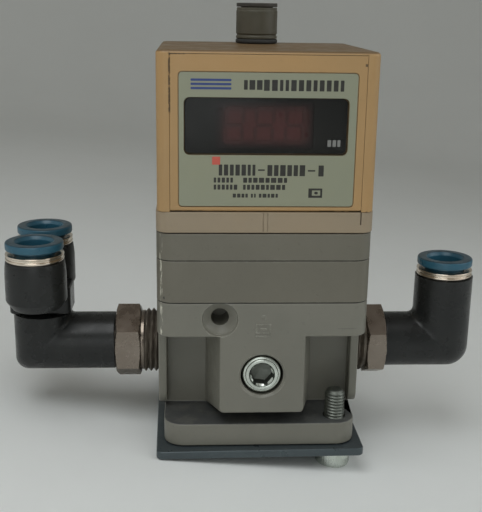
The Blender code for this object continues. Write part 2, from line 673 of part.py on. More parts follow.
def make_cover(looks):
    base = add_piece("cover_base", prism(square_outline(BODY_HALF, BASE_CORNER), *COVER_BASE_Z), looks["base"])
    cut(base, prism(square_outline(BODY_HALF - BASE_WALL, BASE_CORNER - PAST), COVER_BASE_Z[0] - PAST,
                    COVER_BASE_Z[1] + PAST))

    outline = rounded_outline((-COVER_HALF, COVER_HALF), (COVER_FRONT, COVER_HALF), COVER_CORNER)
    cover = add_piece("cover_shell", prism(outline, *COVER_Z), looks["beige"])
    inner = COVER_HALF - COVER_WALL
    below = COVER_Z[0] - PAST
    cut(cover, box((-inner, inner), (FASCIA_Y[1], inner), (below, COVER_Z[1] - COVER_WALL)))
    cut(cover, box((-RECESS_HALF, RECESS_HALF), (COVER_FRONT - PAST, FASCIA_Y[0]), (below, RECESS_TOP)))
    hole_y = (FASCIA_Y[0] - 1.5, FASCIA_Y[1] + 1.1)
    cut(cover, panel((-LED_HALF_X - LED_HOLE_GAP, LED_HALF_X + LED_HOLE_GAP),
                     (LED_Z[0] - LED_HOLE_GAP, LED_Z[1] + LED_HOLE_GAP), hole_y, 0.5))
    for number in range(len(KEY_NAMES)):
        hole = rod(KEY_RADIUS + KEY_HOLE_GAP, *hole_y, MEDIUM_STEPS)
        cut(cover, along_y(hole, (number - 1) * KEY_PITCH, KEY_Z))
    pin_hole, pin_reach = FLAP_PIN_HOLE[0], RECESS_HALF + FLAP_PIN_HOLE[1]
    cut(cover, along_x(rod(pin_hole, -pin_reach, pin_reach, SMALL_STEPS), FLAP_AXIS[1], FLAP_AXIS[2]))
    stem_hole = rod(CONNECTOR_STEM + KEY_HOLE_GAP, COVER_Z[1] - 6.8, COVER_Z[1] + 2.2)
    cut(cover, moved(stem_hole, *CONNECTOR_XY))


def make_flap(looks):
    """Hinged front with a round lower edge on the hinge's axis."""
    front, back = FLAP_Y
    half_thick = (back - front) / 2
    section = [(front, FLAP_TOP), (back, FLAP_TOP)]
    arc = 8
    for step in range(arc + 1):
        angle = -math.pi * step / arc
        section.append((FLAP_AXIS[1] + half_thick * math.cos(angle),
                        FLAP_AXIS[2] + half_thick * math.sin(angle)))
    shape = loft([[(x, y, z) for y, z in section] for x in (-FLAP_HALF, FLAP_HALF)])
    flap = add_piece("front_flap", shape, looks["beige"], FLAP_AXIS)
    pin, pin_end = FLAP_PIN[0], RECESS_HALF + FLAP_PIN[1]
    join(flap, along_x(rod(pin, -pin_end, pin_end, SMALL_STEPS), FLAP_AXIS[1], FLAP_AXIS[2]))
    seat_x = (LABEL_X[0] - FIT_GAP, LABEL_X[1] + FIT_GAP)
    seat_z = (LABEL_Z[0] - FIT_GAP, LABEL_Z[1] + FIT_GAP)
    label_seat = panel(seat_x, seat_z, (front - PAST, front + LABEL_SEAT_DEPTH), LABEL_RADIUS)
    through = (front - PAST, back + PAST)
    cut(flap, label_seat, panel(WINDOW_X, WINDOW_Z, through, WINDOW_RADIUS))

    label_y = (front + LABEL_DEPTH[0], front + LABEL_DEPTH[1])
    label = add_piece("front_label", panel(LABEL_X, LABEL_Z, label_y, LABEL_RADIUS), looks["label"], FLAP_AXIS)
    cut(label, panel(WINDOW_X, WINDOW_Z, through, WINDOW_RADIUS))
    pane_x = (WINDOW_X[0] + FIT_GAP, WINDOW_X[1] - FIT_GAP)
    pane_z = (WINDOW_Z[0] + FIT_GAP, WINDOW_Z[1] - FIT_GAP)
    pane = panel(pane_x, pane_z, (front + FIT_GAP / 2, back - 2 * FIT_GAP), WINDOW_RADIUS - FIT_GAP / 2)
    add_piece("display_window", pane, looks["smoked"], FLAP_AXIS)


def make_electronics(looks):
    add_piece("led_display", box((-LED_HALF_X, LED_HALF_X), LED_Y, LED_Z), looks["dark"])
    add_piece("display_board", box(*DISPLAY_BOARD), looks["board"])
    add_piece("board_header", box(*BOARD_HEADER), looks["dark"])
    add_piece("control_board", box(*CONTROL_BOARD), looks["board"])
    front, flange_front, flange_back = KEY_Y
    for number, name in enumerate(KEY_NAMES):
        x = (number - 1) * KEY_PITCH
        cap = [(0, flange_back), (KEY_FLANGE_RADIUS, flange_back), (KEY_FLANGE_RADIUS, flange_front),
               (KEY_RADIUS, flange_front), (KEY_RADIUS, front), (0, front)]
        add_piece(name, along_y(turned(cap, MEDIUM_STEPS), x, KEY_Z), looks["key"], (x, front, KEY_Z))


def make_connector(looks):
    x, y = CONNECTOR_XY
    seal = tube(SEAL_RADIUS, CONNECTOR_STEM + 0.1, *SEAL_Z)
    add_piece("connector_seal", moved(seal, x, y), looks["rubber"])
    stem_end, shoulder, rim = CONNECTOR_Z
    shell = [(CONNECTOR_BORE, rim), (CONNECTOR_RADIUS, rim), (CONNECTOR_RADIUS, shoulder),
             (CONNECTOR_STEM, shoulder), (CONNECTOR_STEM, stem_end), (STEM_BORE, stem_end),
             (STEM_BORE, CONNECTOR_FLOOR), (CONNECTOR_BORE, CONNECTOR_FLOOR)]
    add_piece("signal_connector", moved(turned(shell), x, y), looks["olive"])
    socket_radius, body_radius, rim_radius = INSERT_RADII
    bottom, floor, rim_bottom, top = INSERT_Z
    insert = [(socket_radius, top), (rim_radius, top), (rim_radius, rim_bottom), (body_radius, rim_bottom),
              (body_radius, bottom), (0, bottom), (0, floor), (socket_radius, floor)]
    socket = add_piece("connector_insert", moved(turned(insert), x, y), looks["dark"])
    point_radius, pin_radius = PIN_RADII
    pin_bottom, pin_shoulder, pin_top = PIN_Z
    for number in range(4):
        angle = math.radians(45 + 90 * number)
        pin_x = x + PIN_CIRCLE * math.cos(angle)
        pin_y = y + PIN_CIRCLE * math.sin(angle)
        hole = rod(PIN_HOLE, bottom - 0.8, floor + 0.9, TINY_STEPS)
        cut(socket, moved(hole, pin_x, pin_y))
        pin = turned([(0, pin_top), (point_radius, pin_top), (pin_radius, pin_shoulder),
                      (pin_radius, pin_bottom), (0, pin_bottom)], TINY_STEPS)
        add_piece(f"connector_pin_{number + 1}", moved(pin, pin_x, pin_y), looks["brass"])
    nut = add_piece("connector_nut", moved(hexagon(NUT_FLATS, *NUT_Z), x, y), looks["brass"])
    cut(nut, moved(rod(CONNECTOR_STEM + 0.2, NUT_Z[0] - PAST, NUT_Z[1] + PAST), x, y))


# ---- push-in fittings ----------------------------------------------------

def make_stud(name, hex_x, spigot_end, looks, hex_turn):
    """Threaded stud with a hexagon and a spigot that the elbow turns on."""
    side = -1 if hex_x[0] < 0 else 1
    inner = hex_x[1] if side < 0 else hex_x[0]
    tip = side * STUD_TIP
    stud = add_piece(name, along_x(hexagon(HEX_FLATS, *hex_x, start=hex_turn)), looks["brass"])
    thread_ends = sorted((tip, inner + side * PAST))
    spigot_ends = sorted((inner + side * 2 * PAST, spigot_end))
    join(stud, along_x(rod(THREAD_RADIUS, *thread_ends)), along_x(rod(SPIGOT_RADIUS, *spigot_ends)))
    groove = sorted(spigot_end - side * reach for reach in GROOVE_REACH)
    bore_ends = sorted((tip - side * PAST, spigot_end + side * PAST))
    cut(stud, along_x(tube(SPIGOT_RADIUS + PAST, GROOVE_FLOOR, *groove)),
        along_x(rod(STUD_BORE, *bore_ends, MEDIUM_STEPS)))
    seal = tube(SEAL_RADII[1], SEAL_RADII[0], groove[0] + SEAL_SIDE_GAP, groove[1] - SEAL_SIDE_GAP)
    add_piece(name.replace("stud", "swivel_seal"), along_x(seal), looks["rubber"])


def make_tube_port(prefix, x, y, top, looks):
    """Release collet and metal guide ring of one tube socket."""
    edge, mouth, head, end = (top - depth for depth in COLLET_DEPTHS)
    outer_chamfer, inner_chamfer = COLLET_DEPTHS[:2]
    collet = [(TUBE_RADIUS, mouth), (TUBE_RADIUS + inner_chamfer, top), (COLLET_RADIUS - outer_chamfer, top),
              (COLLET_RADIUS, edge), (COLLET_RADIUS, head), (COLLET_SLEEVE, head), (COLLET_SLEEVE, end),
              (TUBE_RADIUS, end)]
    add_piece(f"{prefix}_collet", moved(turned(collet), x, y), looks["blue"], (x, y, top))
    bore, sleeve, band = RING_RADII
    high, band_low, low = (top - depth for depth in RING_DEPTHS)
    ring = [(bore, high), (band, high), (band, band_low), (sleeve, band_low), (sleeve, low), (bore, low)]
    add_piece(f"{prefix}_ring", moved(turned(ring), x, y), looks["brass"], (x, y, top))


def tube_bore(x, y, top, floor):
    """Stepped hole for the ring, the collet and the tube."""
    ring, collet, passage = BORE_RADII
    upper, lower = (top - depth for depth in BORE_DEPTHS)
    profile = [(0, top), (ring, top), (ring, upper), (collet, upper), (collet, lower), (passage, lower),
               (passage, floor), (0, floor)]
    return moved(turned(profile), x, y)


def barrel(x, y, low, high):
    """Slightly barrel-shaped socket body with a chamfered lower end."""
    draft, draft_height, chamfer_height, chamfer = BARREL_TAPER
    profile = [(0, high), (BARREL_RADIUS - draft, high), (BARREL_RADIUS, high - draft_height),
               (BARREL_RADIUS, low + chamfer_height), (BARREL_RADIUS - chamfer, low), (0, low)]
    return moved(turned(profile), x, y)


def make_left_fitting(looks):
    make_stud("left_stud", LEFT_HEX_X, LEFT_SPIGOT_END, looks, LEFT_HEX_TURN)
    pivot = (LEFT_HEX_X[0], 0.0, PORT_Z)
    shape = elbow(LEFT_AXIS_X, LEFT_HEX_X[0] - ELBOW_GAP, LEFT_ELBOW_TOP, LEFT_ARM_RADIUS, LEFT_ARM_RADIUS,
                  *LEFT_CORNER)
    lower = add_piece("left_elbow_body", shape, looks["dark"], pivot)
    cut(lower, along_x(rod(SWIVEL_BORE, LEFT_SPIGOT_END - PAST, LEFT_HEX_X[0] + PAST)),
        along_x(rod(STUD_BORE, LEFT_BORE_END, LEFT_SPIGOT_END, MEDIUM_STEPS)),
        moved(rod(RISER_RADIUS, PORT_Z, LEFT_ELBOW_TOP + 1.1, MEDIUM_STEPS), LEFT_AXIS_X))
    make_branch_block(looks, pivot)
    for side, place in ((-1, "front"), (1, "rear")):
        make_tube_port(f"left_{place}", LEFT_AXIS_X, side * LEFT_BARREL_Y, LEFT_COLLET_TOP, looks)


def make_branch_block(looks, pivot):
    """Two tube sockets side by side on one web, with a spigot down into the elbow."""
    half_x, half_y = WEB_HALF
    web = box((LEFT_AXIS_X - half_x, LEFT_AXIS_X + half_x), (-half_y, half_y), WEB_Z)
    block = add_piece("left_branch_block", web, looks["dark"], pivot)
    for side in (-1, 1):
        socket_top = LEFT_COLLET_TOP - BARREL_DROP
        join(block, barrel(LEFT_AXIS_X, side * LEFT_BARREL_Y, LEFT_BARREL_FLOOR, socket_top))
    spigot_radius, spigot_end = BRANCH_SPIGOT
    join(block, moved(rod(spigot_radius, spigot_end, WEB_Z[0] + 1.2, MEDIUM_STEPS), LEFT_AXIS_X))
    inlet, inlet_low, inlet_high = BRANCH_INLET
    for side in (-1, 1):
        cut(block, tube_bore(LEFT_AXIS_X, side * LEFT_BARREL_Y, LEFT_COLLET_TOP, LEFT_TUBE_FLOOR))
        cut(block, moved(rod(inlet, inlet_low, inlet_high, SMALL_STEPS), LEFT_AXIS_X,
                         side * (LEFT_BARREL_Y - BRANCH_INLET_SHIFT)))
    bore, bore_top = BRANCH_BORE
    cross, reach = CROSS_BORE
    cut(block, along_y(rod(cross, -reach, reach, SMALL_STEPS), LEFT_AXIS_X, bore_top),
        moved(rod(bore, spigot_end - PAST, bore_top, SMALL_STEPS), LEFT_AXIS_X))


def make_right_fitting(looks):
    make_stud("right_stud", RIGHT_HEX_X, RIGHT_SPIGOT_END, looks, RIGHT_HEX_TURN)
    pivot = (RIGHT_HEX_X[1], 0.0, PORT_Z)
    shape = elbow(RIGHT_AXIS_X, RIGHT_HEX_X[1] + ELBOW_GAP, RIGHT_COLLET_TOP - BARREL_DROP, RIGHT_ARM_RADIUS,
                  BARREL_RADIUS, *RIGHT_CORNER)
    body = add_piece("right_elbow_body", shape, looks["dark"], pivot)
    bore, bore_end = RIGHT_BORE
    cut(body, along_x(rod(SWIVEL_BORE, RIGHT_HEX_X[1] - PAST, RIGHT_SWIVEL_END)),
        along_x(rod(bore, RIGHT_SPIGOT_END + 0.5, bore_end, MEDIUM_STEPS)),
        tube_bore(RIGHT_AXIS_X, 0.0, RIGHT_COLLET_TOP, RIGHT_TUBE_FLOOR),
        moved(rod(STUD_BORE, 20.5, RIGHT_TUBE_FLOOR + PAST, MEDIUM_STEPS), RIGHT_AXIS_X))
    make_tube_port("right", RIGHT_AXIS_X, 0.0, RIGHT_COLLET_TOP, looks)


def main():
    clear_scene()
    looks = make_materials()
    for make in (make_base_plate, make_plate_screw, make_main_body, make_gauge_plug, make_valve, make_layers,
                 make_pilot_valves, make_cover, make_flap, make_electronics, make_connector, make_left_fitting,
                 make_right_fitting):
        make(looks)


main()
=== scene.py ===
"""Looks of the electro-pneumatic pressure regulator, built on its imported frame.

Lengths are in millimetres until a mesh is made. X runs from the supply port to
the outlet port, the display looks along -Y, and +Z is up.
"""

import math
import random

import bmesh
import bpy
from mathutils import Matrix, Vector


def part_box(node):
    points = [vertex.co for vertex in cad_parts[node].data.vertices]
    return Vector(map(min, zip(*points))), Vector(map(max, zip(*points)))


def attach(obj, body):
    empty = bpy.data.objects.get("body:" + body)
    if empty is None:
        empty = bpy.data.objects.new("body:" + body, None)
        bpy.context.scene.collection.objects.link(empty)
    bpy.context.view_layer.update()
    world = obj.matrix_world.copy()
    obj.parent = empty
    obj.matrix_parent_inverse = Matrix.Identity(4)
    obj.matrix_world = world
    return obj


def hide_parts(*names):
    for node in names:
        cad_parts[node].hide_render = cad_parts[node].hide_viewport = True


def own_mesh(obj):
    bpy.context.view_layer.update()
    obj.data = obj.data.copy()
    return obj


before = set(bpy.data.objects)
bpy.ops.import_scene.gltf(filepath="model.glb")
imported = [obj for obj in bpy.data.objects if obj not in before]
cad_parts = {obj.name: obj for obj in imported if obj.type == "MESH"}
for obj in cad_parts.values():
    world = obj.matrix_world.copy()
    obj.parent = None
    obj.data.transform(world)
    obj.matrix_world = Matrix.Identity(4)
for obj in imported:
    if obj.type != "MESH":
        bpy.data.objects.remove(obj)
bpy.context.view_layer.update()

MM = 0.001
FINE = 96               # sides of a turned piece that shows
COARSE = 48             # sides of a hidden bore or a small piece

PORT_Z = 21.15          # axis of the four main ports
HOLE_GRID = 18.75       # flange and plate holes, from the valve axis
TIE_GRID = 18.5         # tie screws, from the valve axis
BLEED_PORT = (-10.15, 35.3)


def extent(node):
    """((x0, x1), (y0, y1), (z0, z1)) of a CAD node in millimetres."""
    low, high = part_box(node)
    return tuple((low[i] / MM, high[i] / MM) for i in range(3))


def middle(span):
    return (span[0] + span[1]) / 2


def half(span):
    return (span[1] - span[0]) / 2


# ---- shapes --------------------------------------------------------------

def round_rect(x, y, radius, inset=0.0):
    """Outline of a rectangle with round corners, drawn in by the inset."""
    steps = 10
    radius = max(radius - inset, 0.02)
    x = (x[0] + inset, x[1] - inset)
    y = (y[0] + inset, y[1] - inset)
    corners = [(x[1] - radius, y[1] - radius), (x[0] + radius, y[1] - radius),
               (x[0] + radius, y[0] + radius), (x[1] - radius, y[0] + radius)]
    outline = []
    for number, (centre_x, centre_y) in enumerate(corners):
        for step in range(steps + 1):
            angle = math.pi / 2 * (number + step / steps)
            outline.append((centre_x + radius * math.cos(angle), centre_y + radius * math.sin(angle)))
    return outline


def circle(radius, steps=FINE):
    angles = [2 * math.pi * step / steps for step in range(steps)]
    return [(radius * math.cos(a), radius * math.sin(a)) for a in angles]


def loft(rings):
    """Skin closed rings of equal length, and cap both ends."""
    shape = bmesh.new()
    loops = [[shape.verts.new(point) for point in ring] for ring in rings]
    count = len(loops[0])
    for lower, upper in zip(loops, loops[1:]):
        for i in range(count):
            j = (i + 1) % count
            shape.faces.new((lower[i], lower[j], upper[j], upper[i]))
    shape.faces.new(list(reversed(loops[0])))
    shape.faces.new(loops[-1])
    return shape


def slab(x, y, z, radius, edges=(0.25, 0.25), steps=4):
    """Round-cornered block whose lower and upper edges are rounded by the two edge radii."""
    rings = []
    for end, edge, sign in ((z[0], edges[0], 1), (z[1], edges[1], -1)):
        for step in range(steps + 1)[::sign]:
            swing = math.pi / 2 * step / steps
            inset = edge * (1 - math.sin(swing))
            height = end + sign * edge * (1 - math.cos(swing))
            rings.append([(px, py, height) for px, py in round_rect(x, y, radius, inset)])
    return loft(rings)


def box(x, y, z):
    corners = [(x[0], y[0]), (x[1], y[0]), (x[1], y[1]), (x[0], y[1])]
    return loft([[(px, py, height) for px, py in corners] for height in z])


def soften(profile, radius=0.2):
    """Round the corners of a closed (radius, height) profile, except those on the axis."""
    steps = 3
    points = []
    count = len(profile)
    for i, corner in enumerate(profile):
        here = Vector(corner)
        before = Vector(profile[i - 1]) - here
        after = Vector(profile[(i + 1) % count]) - here
        if corner[0] == 0 or before.length == 0 or after.length == 0:
            points.append(corner)
            continue
        reach = min(radius, 0.45 * before.length, 0.45 * after.length)
        first = here + before.normalized() * reach
        last = here + after.normalized() * reach
        for step in range(steps + 1):
            t = step / steps
            point = first * (1 - t) ** 2 + here * 2 * t * (1 - t) + last * t ** 2
            points.append((point.x, point.y))
    return points


def turned(profile, steps=FINE, start=0.0):
    """Revolve a closed profile round Z; a radius may be a function of the angle."""
    shape = bmesh.new()
    angles = [start + 2 * math.pi * step / steps for step in range(steps)]
    rings = []
    for radius, height in profile:
        if radius == 0:
            rings.append([shape.verts.new((0, 0, height))] * steps)
            continue
        ring = []
        for angle in angles:
            reach = radius(angle) if callable(radius) else radius
            ring.append(shape.verts.new((reach * math.cos(angle), reach * math.sin(angle), height)))
        rings.append(ring)
    for first, second in zip(rings, rings[1:] + rings[:1]):
        for i in range(steps):
            j = (i + 1) % steps
            corners = []
            for vertex in (first[i], first[j], second[j], second[i]):
                if vertex not in corners:
                    corners.append(vertex)
            if len(corners) > 2:
                shape.faces.new(corners)
    return shape


def rod(radius, low, high, steps=COARSE):
    return turned([(0, high), (radius, high), (radius, low), (0, low)], steps)


def transformed(shape, rows):
    bmesh.ops.transform(shape, matrix=Matrix(rows), verts=shape.verts)
    return shape


def along_x(shape, y=0.0, z=PORT_Z):
    """Lay a shape made round Z along X, so that its height becomes its x."""
    return transformed(shape, ((0, 0, 1, 0), (0, 1, 0, y), (-1, 0, 0, z), (0, 0, 0, 1)))


def along_y(shape, x=0.0, z=PORT_Z):
    """Lay a shape made round Z along Y, so that its height becomes its y."""
    return transformed(shape, ((1, 0, 0, x), (0, 0, 1, 0), (0, -1, 0, z), (0, 0, 0, 1)))


def facing_front(shape):
    """Turn a shape drawn in XY into the XZ plane, its height becoming its y."""
    return transformed(shape, ((1, 0, 0, 0), (0, 0, 1, 0), (0, 1, 0, 0), (0, 0, 0, 1)))


def facing_side(shape):
    """Turn a shape drawn in XY into the YZ plane, its height becoming its x."""
    return transformed(shape, ((0, 0, 1, 0), (1, 0, 0, 0), (0, 1, 0, 0), (0, 0, 0, 1)))


def moved(shape, x=0.0, y=0.0, z=0.0):
    bmesh.ops.translate(shape, verts=shape.verts, vec=(x, y, z))
    return shape


def panel(x, z, y, radius, edge=0.1):
    """Round-cornered plate in the XZ plane."""
    return facing_front(slab(x, z, y, radius, (edge, edge), 3))


def merged(shapes):
    """One bmesh that holds several shapes side by side."""
    whole = bmesh.new()
    for shape in shapes:
        mesh = bpy.data.meshes.new("part")
        shape.to_mesh(mesh)
        shape.free()
        whole.from_mesh(mesh)
        bpy.data.meshes.remove(mesh)
    return whole


def hex_radius(flats, start=0.0):
    """Radius of a hexagon over the angle, with a corner at the start angle."""
    def radius(angle):
        local = (angle - start) % (math.pi / 3) - math.pi / 6
        return flats / 2 / math.cos(local)
    return radius


def limited(shape_radius, limit):
    """The smaller of a shape's radius and a round limit, as where a cone trims a hexagon."""
    return lambda angle: min(shape_radius(angle), limit)


def thread_stations(radius, depth, pitch, low, high, samples=8):
    """(radius function, height) pairs of a V thread."""
    count = max(2, round((high - low) / pitch * samples))
    stations = []
    for step in range(count + 1):
        height = low + (high - low) * step / count

        def reach(angle, height=height):
            phase = (height / pitch + angle / (2 * math.pi)) % 1.0
            return radius - depth * abs(2 * phase - 1) ** 1.2
        stations.append((reach, height))
    return stations


# ---- pieces --------------------------------------------------------------

def piece_from(name, shape):
    bmesh.ops.scale(shape, verts=shape.verts, vec=(MM, MM, MM))
    bmesh.ops.recalc_face_normals(shape, faces=shape.faces)
    mesh = bpy.data.meshes.new(name)
    shape.to_mesh(mesh)
    shape.free()
    made = bpy.data.objects.new(name, mesh)
    bpy.context.scene.collection.objects.link(made)
    return made


def apply_modifiers(made):
    graph = bpy.context.evaluated_depsgraph_get()
    mesh = bpy.data.meshes.new_from_object(made.evaluated_get(graph))
    made.modifiers.clear()
    old = made.data
    made.data = mesh
    bpy.data.meshes.remove(old)


def combined(made, operation, shapes, solver="EXACT"):
    for shape in shapes:
        tool = piece_from("tool", shape)
        modifier = made.modifiers.new("cut", "BOOLEAN")
        modifier.operation = operation
        modifier.solver = solver
        modifier.object = tool
        apply_modifiers(made)
        bpy.data.objects.remove(tool, do_unlink=True)
    return made


def cut(made, *shapes, solver="EXACT"):
    return combined(made, "DIFFERENCE", shapes, solver)


def join(made, *shapes, solver="EXACT"):
    return combined(made, "UNION", shapes, solver)


def bevelled(made, width, segments=3, angle=38.0):
    """Round the edges of a piece, once the flat faces that a cut left split are one again."""
    shape = bmesh.new()
    shape.from_mesh(made.data)
    bmesh.ops.remove_doubles(shape, verts=shape.verts, dist=0.002 * MM)
    bmesh.ops.dissolve_limit(shape, angle_limit=math.radians(0.5), verts=shape.verts, edges=shape.edges)
    shape.to_mesh(made.data)
    shape.free()
    modifier = made.modifiers.new("edges", "BEVEL")
    modifier.width = width * MM
    modifier.segments = segments
    modifier.limit_method = "ANGLE"
    modifier.angle_limit = math.radians(angle)
    modifier.use_clamp_overlap = False
    apply_modifiers(made)
    return made


def settle(made, look, body, slot, *nodes):
    """Shade a finished piece, give it its look, and tie it to the frame."""
    made.data.materials.clear()
    made.data.materials.append(look)
    made.data.shade_smooth()
    made.data.set_sharp_from_angle(angle=math.radians(42))
    modifier = made.modifiers.new("normals", "WEIGHTED_NORMAL")
    modifier.keep_sharp = True
    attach(made, body)
    if nodes:
        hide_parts(*nodes)
    return made


# ---- material kit --------------------------------------------------------

def add_node(tree, kind, values=None, **settings):
    """Add a node, set its properties, and fill or link its inputs."""
    made = tree.nodes.new(kind)
    for name, value in settings.items():
        setattr(made, name, value)
    for name, value in (values or {}).items():
        if isinstance(value, bpy.types.NodeSocket):
            tree.links.new(value, made.inputs[name])
        else:
            made.inputs[name].default_value = value
    return made


def math_node(tree, operation, first, second=0.0):
    return add_node(tree, "ShaderNodeMath", {0: first, 1: second}, operation=operation).outputs[0]


def noise(tree, place, scale, detail=4.0, roughness=0.55):
    values = {"Vector": place, "Scale": scale, "Detail": detail, "Roughness": roughness}
    return add_node(tree, "ShaderNodeTexNoise", values).outputs["Fac"]


def span(tree, value, low, high, to_low=0.0, to_high=1.0):
    """Map a range of values smoothly to another, held at both ends."""
    values = {"Value": value, "From Min": low, "From Max": high, "To Min": to_low, "To Max": to_high}
    return add_node(tree, "ShaderNodeMapRange", values, interpolation_type="SMOOTHSTEP").outputs["Result"]


def mixed(tree, share, first, second):
    made = add_node(tree, "ShaderNodeMix", data_type="RGBA")
    for index, value in ((0, share), (6, first), (7, second)):
        if isinstance(value, bpy.types.NodeSocket):
            tree.links.new(value, made.inputs[index])
        elif index == 0:
            made.inputs[index].default_value = value
        else:
            made.inputs[index].default_value = (*value, 1.0)
    return made.outputs[2]


def edge_share(tree, width):
    """High where a sharp or worn edge lies within the width, in millimetres."""
    rounded = add_node(tree, "ShaderNodeBevel", {"Radius": width * MM}, samples=6).outputs["Normal"]
    plain = add_node(tree, "ShaderNodeNewGeometry").outputs["Normal"]
    turn = add_node(tree, "ShaderNodeVectorMath", {0: rounded, 1: plain}, operation="DOT_PRODUCT")
    return span(tree, turn.outputs["Value"], 0.995, 0.86)


def hollow_share(tree, distance):
    """High deep in corners and seams, where shade falls, within the distance in millimetres."""
    values = {"Distance": distance * MM}
    open_share = add_node(tree, "ShaderNodeAmbientOcclusion", values, samples=6).outputs["AO"]
    return span(tree, open_share, 0.75, 0.25)


def surface(name, colour, tint, roughness, metallic=0.0, tint_scale=70.0, rough_spread=0.1, grain=0.15,
            grain_scale=1800.0, wave=0.0, wear=None, wear_width=0.35, wear_share=0.6, hollow_shade_and_soiling=None,
            hollow_shade_reach=1.5, hollow_shade_share=0.6, scratches=0.0, speckle=None, coat=0.0, coat_roughness=0.2,
            specular=0.5, marks=None):
    """A worn everyday surface: mottled colour, uneven gloss, fine grain, edge wear, and soiling with painted
    shade in the hollows.
    """
    look = bpy.data.materials.new(name)
    look.use_nodes = True
    tree = look.node_tree
    shader = tree.nodes["Principled BSDF"]
    place = add_node(tree, "ShaderNodeTexCoord").outputs["Object"]

    patches = span(tree, noise(tree, place, tint_scale, 5.0, 0.6), 0.35, 0.68)
    tone = mixed(tree, math_node(tree, "MULTIPLY", patches, 0.6), colour, tint)
    if speckle:
        dots = span(tree, noise(tree, place, 900.0, 2.0, 0.5), 0.66, 0.76)
        tone = mixed(tree, math_node(tree, "MULTIPLY", dots, 0.45), tone, speckle)
    streaks = None
    if scratches:
        stretched = add_node(tree, "ShaderNodeMapping", {"Vector": place, "Scale": (1.0, 1.0, 14.0),
                                                         "Rotation": (0.5, 0.3, 0.8)}).outputs[0]
        streaks = span(tree, noise(tree, stretched, 420.0, 3.0, 0.6), 0.64, 0.72)
        lighter = tuple(min(1.0, 1.5 * channel + 0.02) for channel in colour)
        tone = mixed(tree, math_node(tree, "MULTIPLY", streaks, scratches), tone, lighter)
    # painted shade with soiling: corners and seams darken unevenly where ambient occlusion finds shade
    if hollow_shade_and_soiling:
        uneven = span(tree, noise(tree, place, 160.0, 4.0, 0.7), 0.3, 0.7, 0.35, 1.0)
        share = math_node(tree, "MULTIPLY", hollow_share(tree, hollow_shade_reach), uneven)
        tone = mixed(tree, math_node(tree, "MULTIPLY", share, hollow_shade_share), tone, hollow_shade_and_soiling)
    if wear:
        patchy = span(tree, noise(tree, place, 700.0, 5.0, 0.7), 0.38, 0.62)
        share = math_node(tree, "MULTIPLY", edge_share(tree, wear_width), patchy)
        tone = mixed(tree, math_node(tree, "MULTIPLY", share, wear_share), tone, wear)
    if marks:
        tone = marks(tree, place, tone)
    tree.links.new(tone, shader.inputs["Base Color"])

    gloss = noise(tree, place, 240.0, 4.0, 0.65)
    tree.links.new(span(tree, gloss, 0.25, 0.75, roughness - rough_spread, roughness + rough_spread),
                   shader.inputs["Roughness"])
    height = math_node(tree, "MULTIPLY", noise(tree, place, grain_scale, 3.0, 0.6), grain)
    if wave:
        slow = math_node(tree, "MULTIPLY", noise(tree, place, 90.0, 2.0, 0.5), wave)
        height = math_node(tree, "ADD", height, slow)
    if streaks is not None:
        height = math_node(tree, "SUBTRACT", height, math_node(tree, "MULTIPLY", streaks, 0.1 * scratches))
    bump = add_node(tree, "ShaderNodeBump", {"Height": height, "Strength": 0.6, "Distance": 0.1 * MM})
    tree.links.new(bump.outputs["Normal"], shader.inputs["Normal"])
    shader.inputs["Metallic"].default_value = metallic
    shader.inputs["Coat Weight"].default_value = coat
    shader.inputs["Coat Roughness"].default_value = coat_roughness
    shader.inputs["Specular IOR Level"].default_value = specular
    return look


def within(tree, place, axis, low, high, soft=0.12):
    """High where one coordinate lies in a range, in millimetres."""
    value = add_node(tree, "ShaderNodeSeparateXYZ", {"Vector": place}).outputs[axis]
    rise = span(tree, value, (low - soft) * MM, (low + soft) * MM)
    fall = span(tree, value, (high - soft) * MM, (high + soft) * MM, 1.0, 0.0)
    return math_node(tree, "MULTIPLY", rise, fall)


def facing(tree, axis, least, full):
    """High where a face looks along an axis."""
    normal = add_node(tree, "ShaderNodeNewGeometry").outputs["Normal"]
    value = add_node(tree, "ShaderNodeSeparateXYZ", {"Vector": normal}).outputs[axis]
    return span(tree, value, least, full)


def near_line(tree, place, x, y, reach):
    """High within the reach of an upright line, in millimetres."""
    axes = add_node(tree, "ShaderNodeSeparateXYZ", {"Vector": place}).outputs
    off_x = math_node(tree, "POWER", math_node(tree, "SUBTRACT", axes["X"], x * MM), 2.0)
    off_y = math_node(tree, "POWER", math_node(tree, "SUBTRACT", axes["Y"], y * MM), 2.0)
    away = math_node(tree, "SQRT", math_node(tree, "ADD", off_x, off_y))
    return span(tree, away, reach * MM, 0.3 * reach * MM)


def laid_over(tree, tone, colour, *shares):
    """Lay a colour over the tone by the product of several shares."""
    share = shares[0]
    for other in shares[1:]:
        share = math_node(tree, "MULTIPLY", share, other)
    return mixed(tree, share, tone, colour)


# ---- marks painted by place, in millimetres ------------------------------

WORN_CORNER = (-23.9, -23.75, 0.62)     # x and y of the bare metal down the corner, and its reach
CHIPPED_CORNER = (-23.2, -24.2, 0.9)
# the flange's upper side lies between these heights, where painted shade darkens it
FLANGE_LEVEL = (7.4, 8.3, 0.3)          # heights of the flange's upper side, and how soft they end
SCRATCH = ((17.7, 22.0, 0.6), (32.95, 33.1, 0.08))
SEAM_DASHES = (                         # x and z ranges of painted shade in the seam round the flap
    ((-21.95, -21.5, 0.12), (83.5, 96.2, 0.4)),
    ((-21.9, -17.5, 0.3), (95.9, 96.15, 0.12)),
    ((-21.9, -14.0, 0.6), (61.0, 61.5, 0.12)),
    ((12.0, 24.0, 0.6), (61.0, 61.45, 0.12)),
)
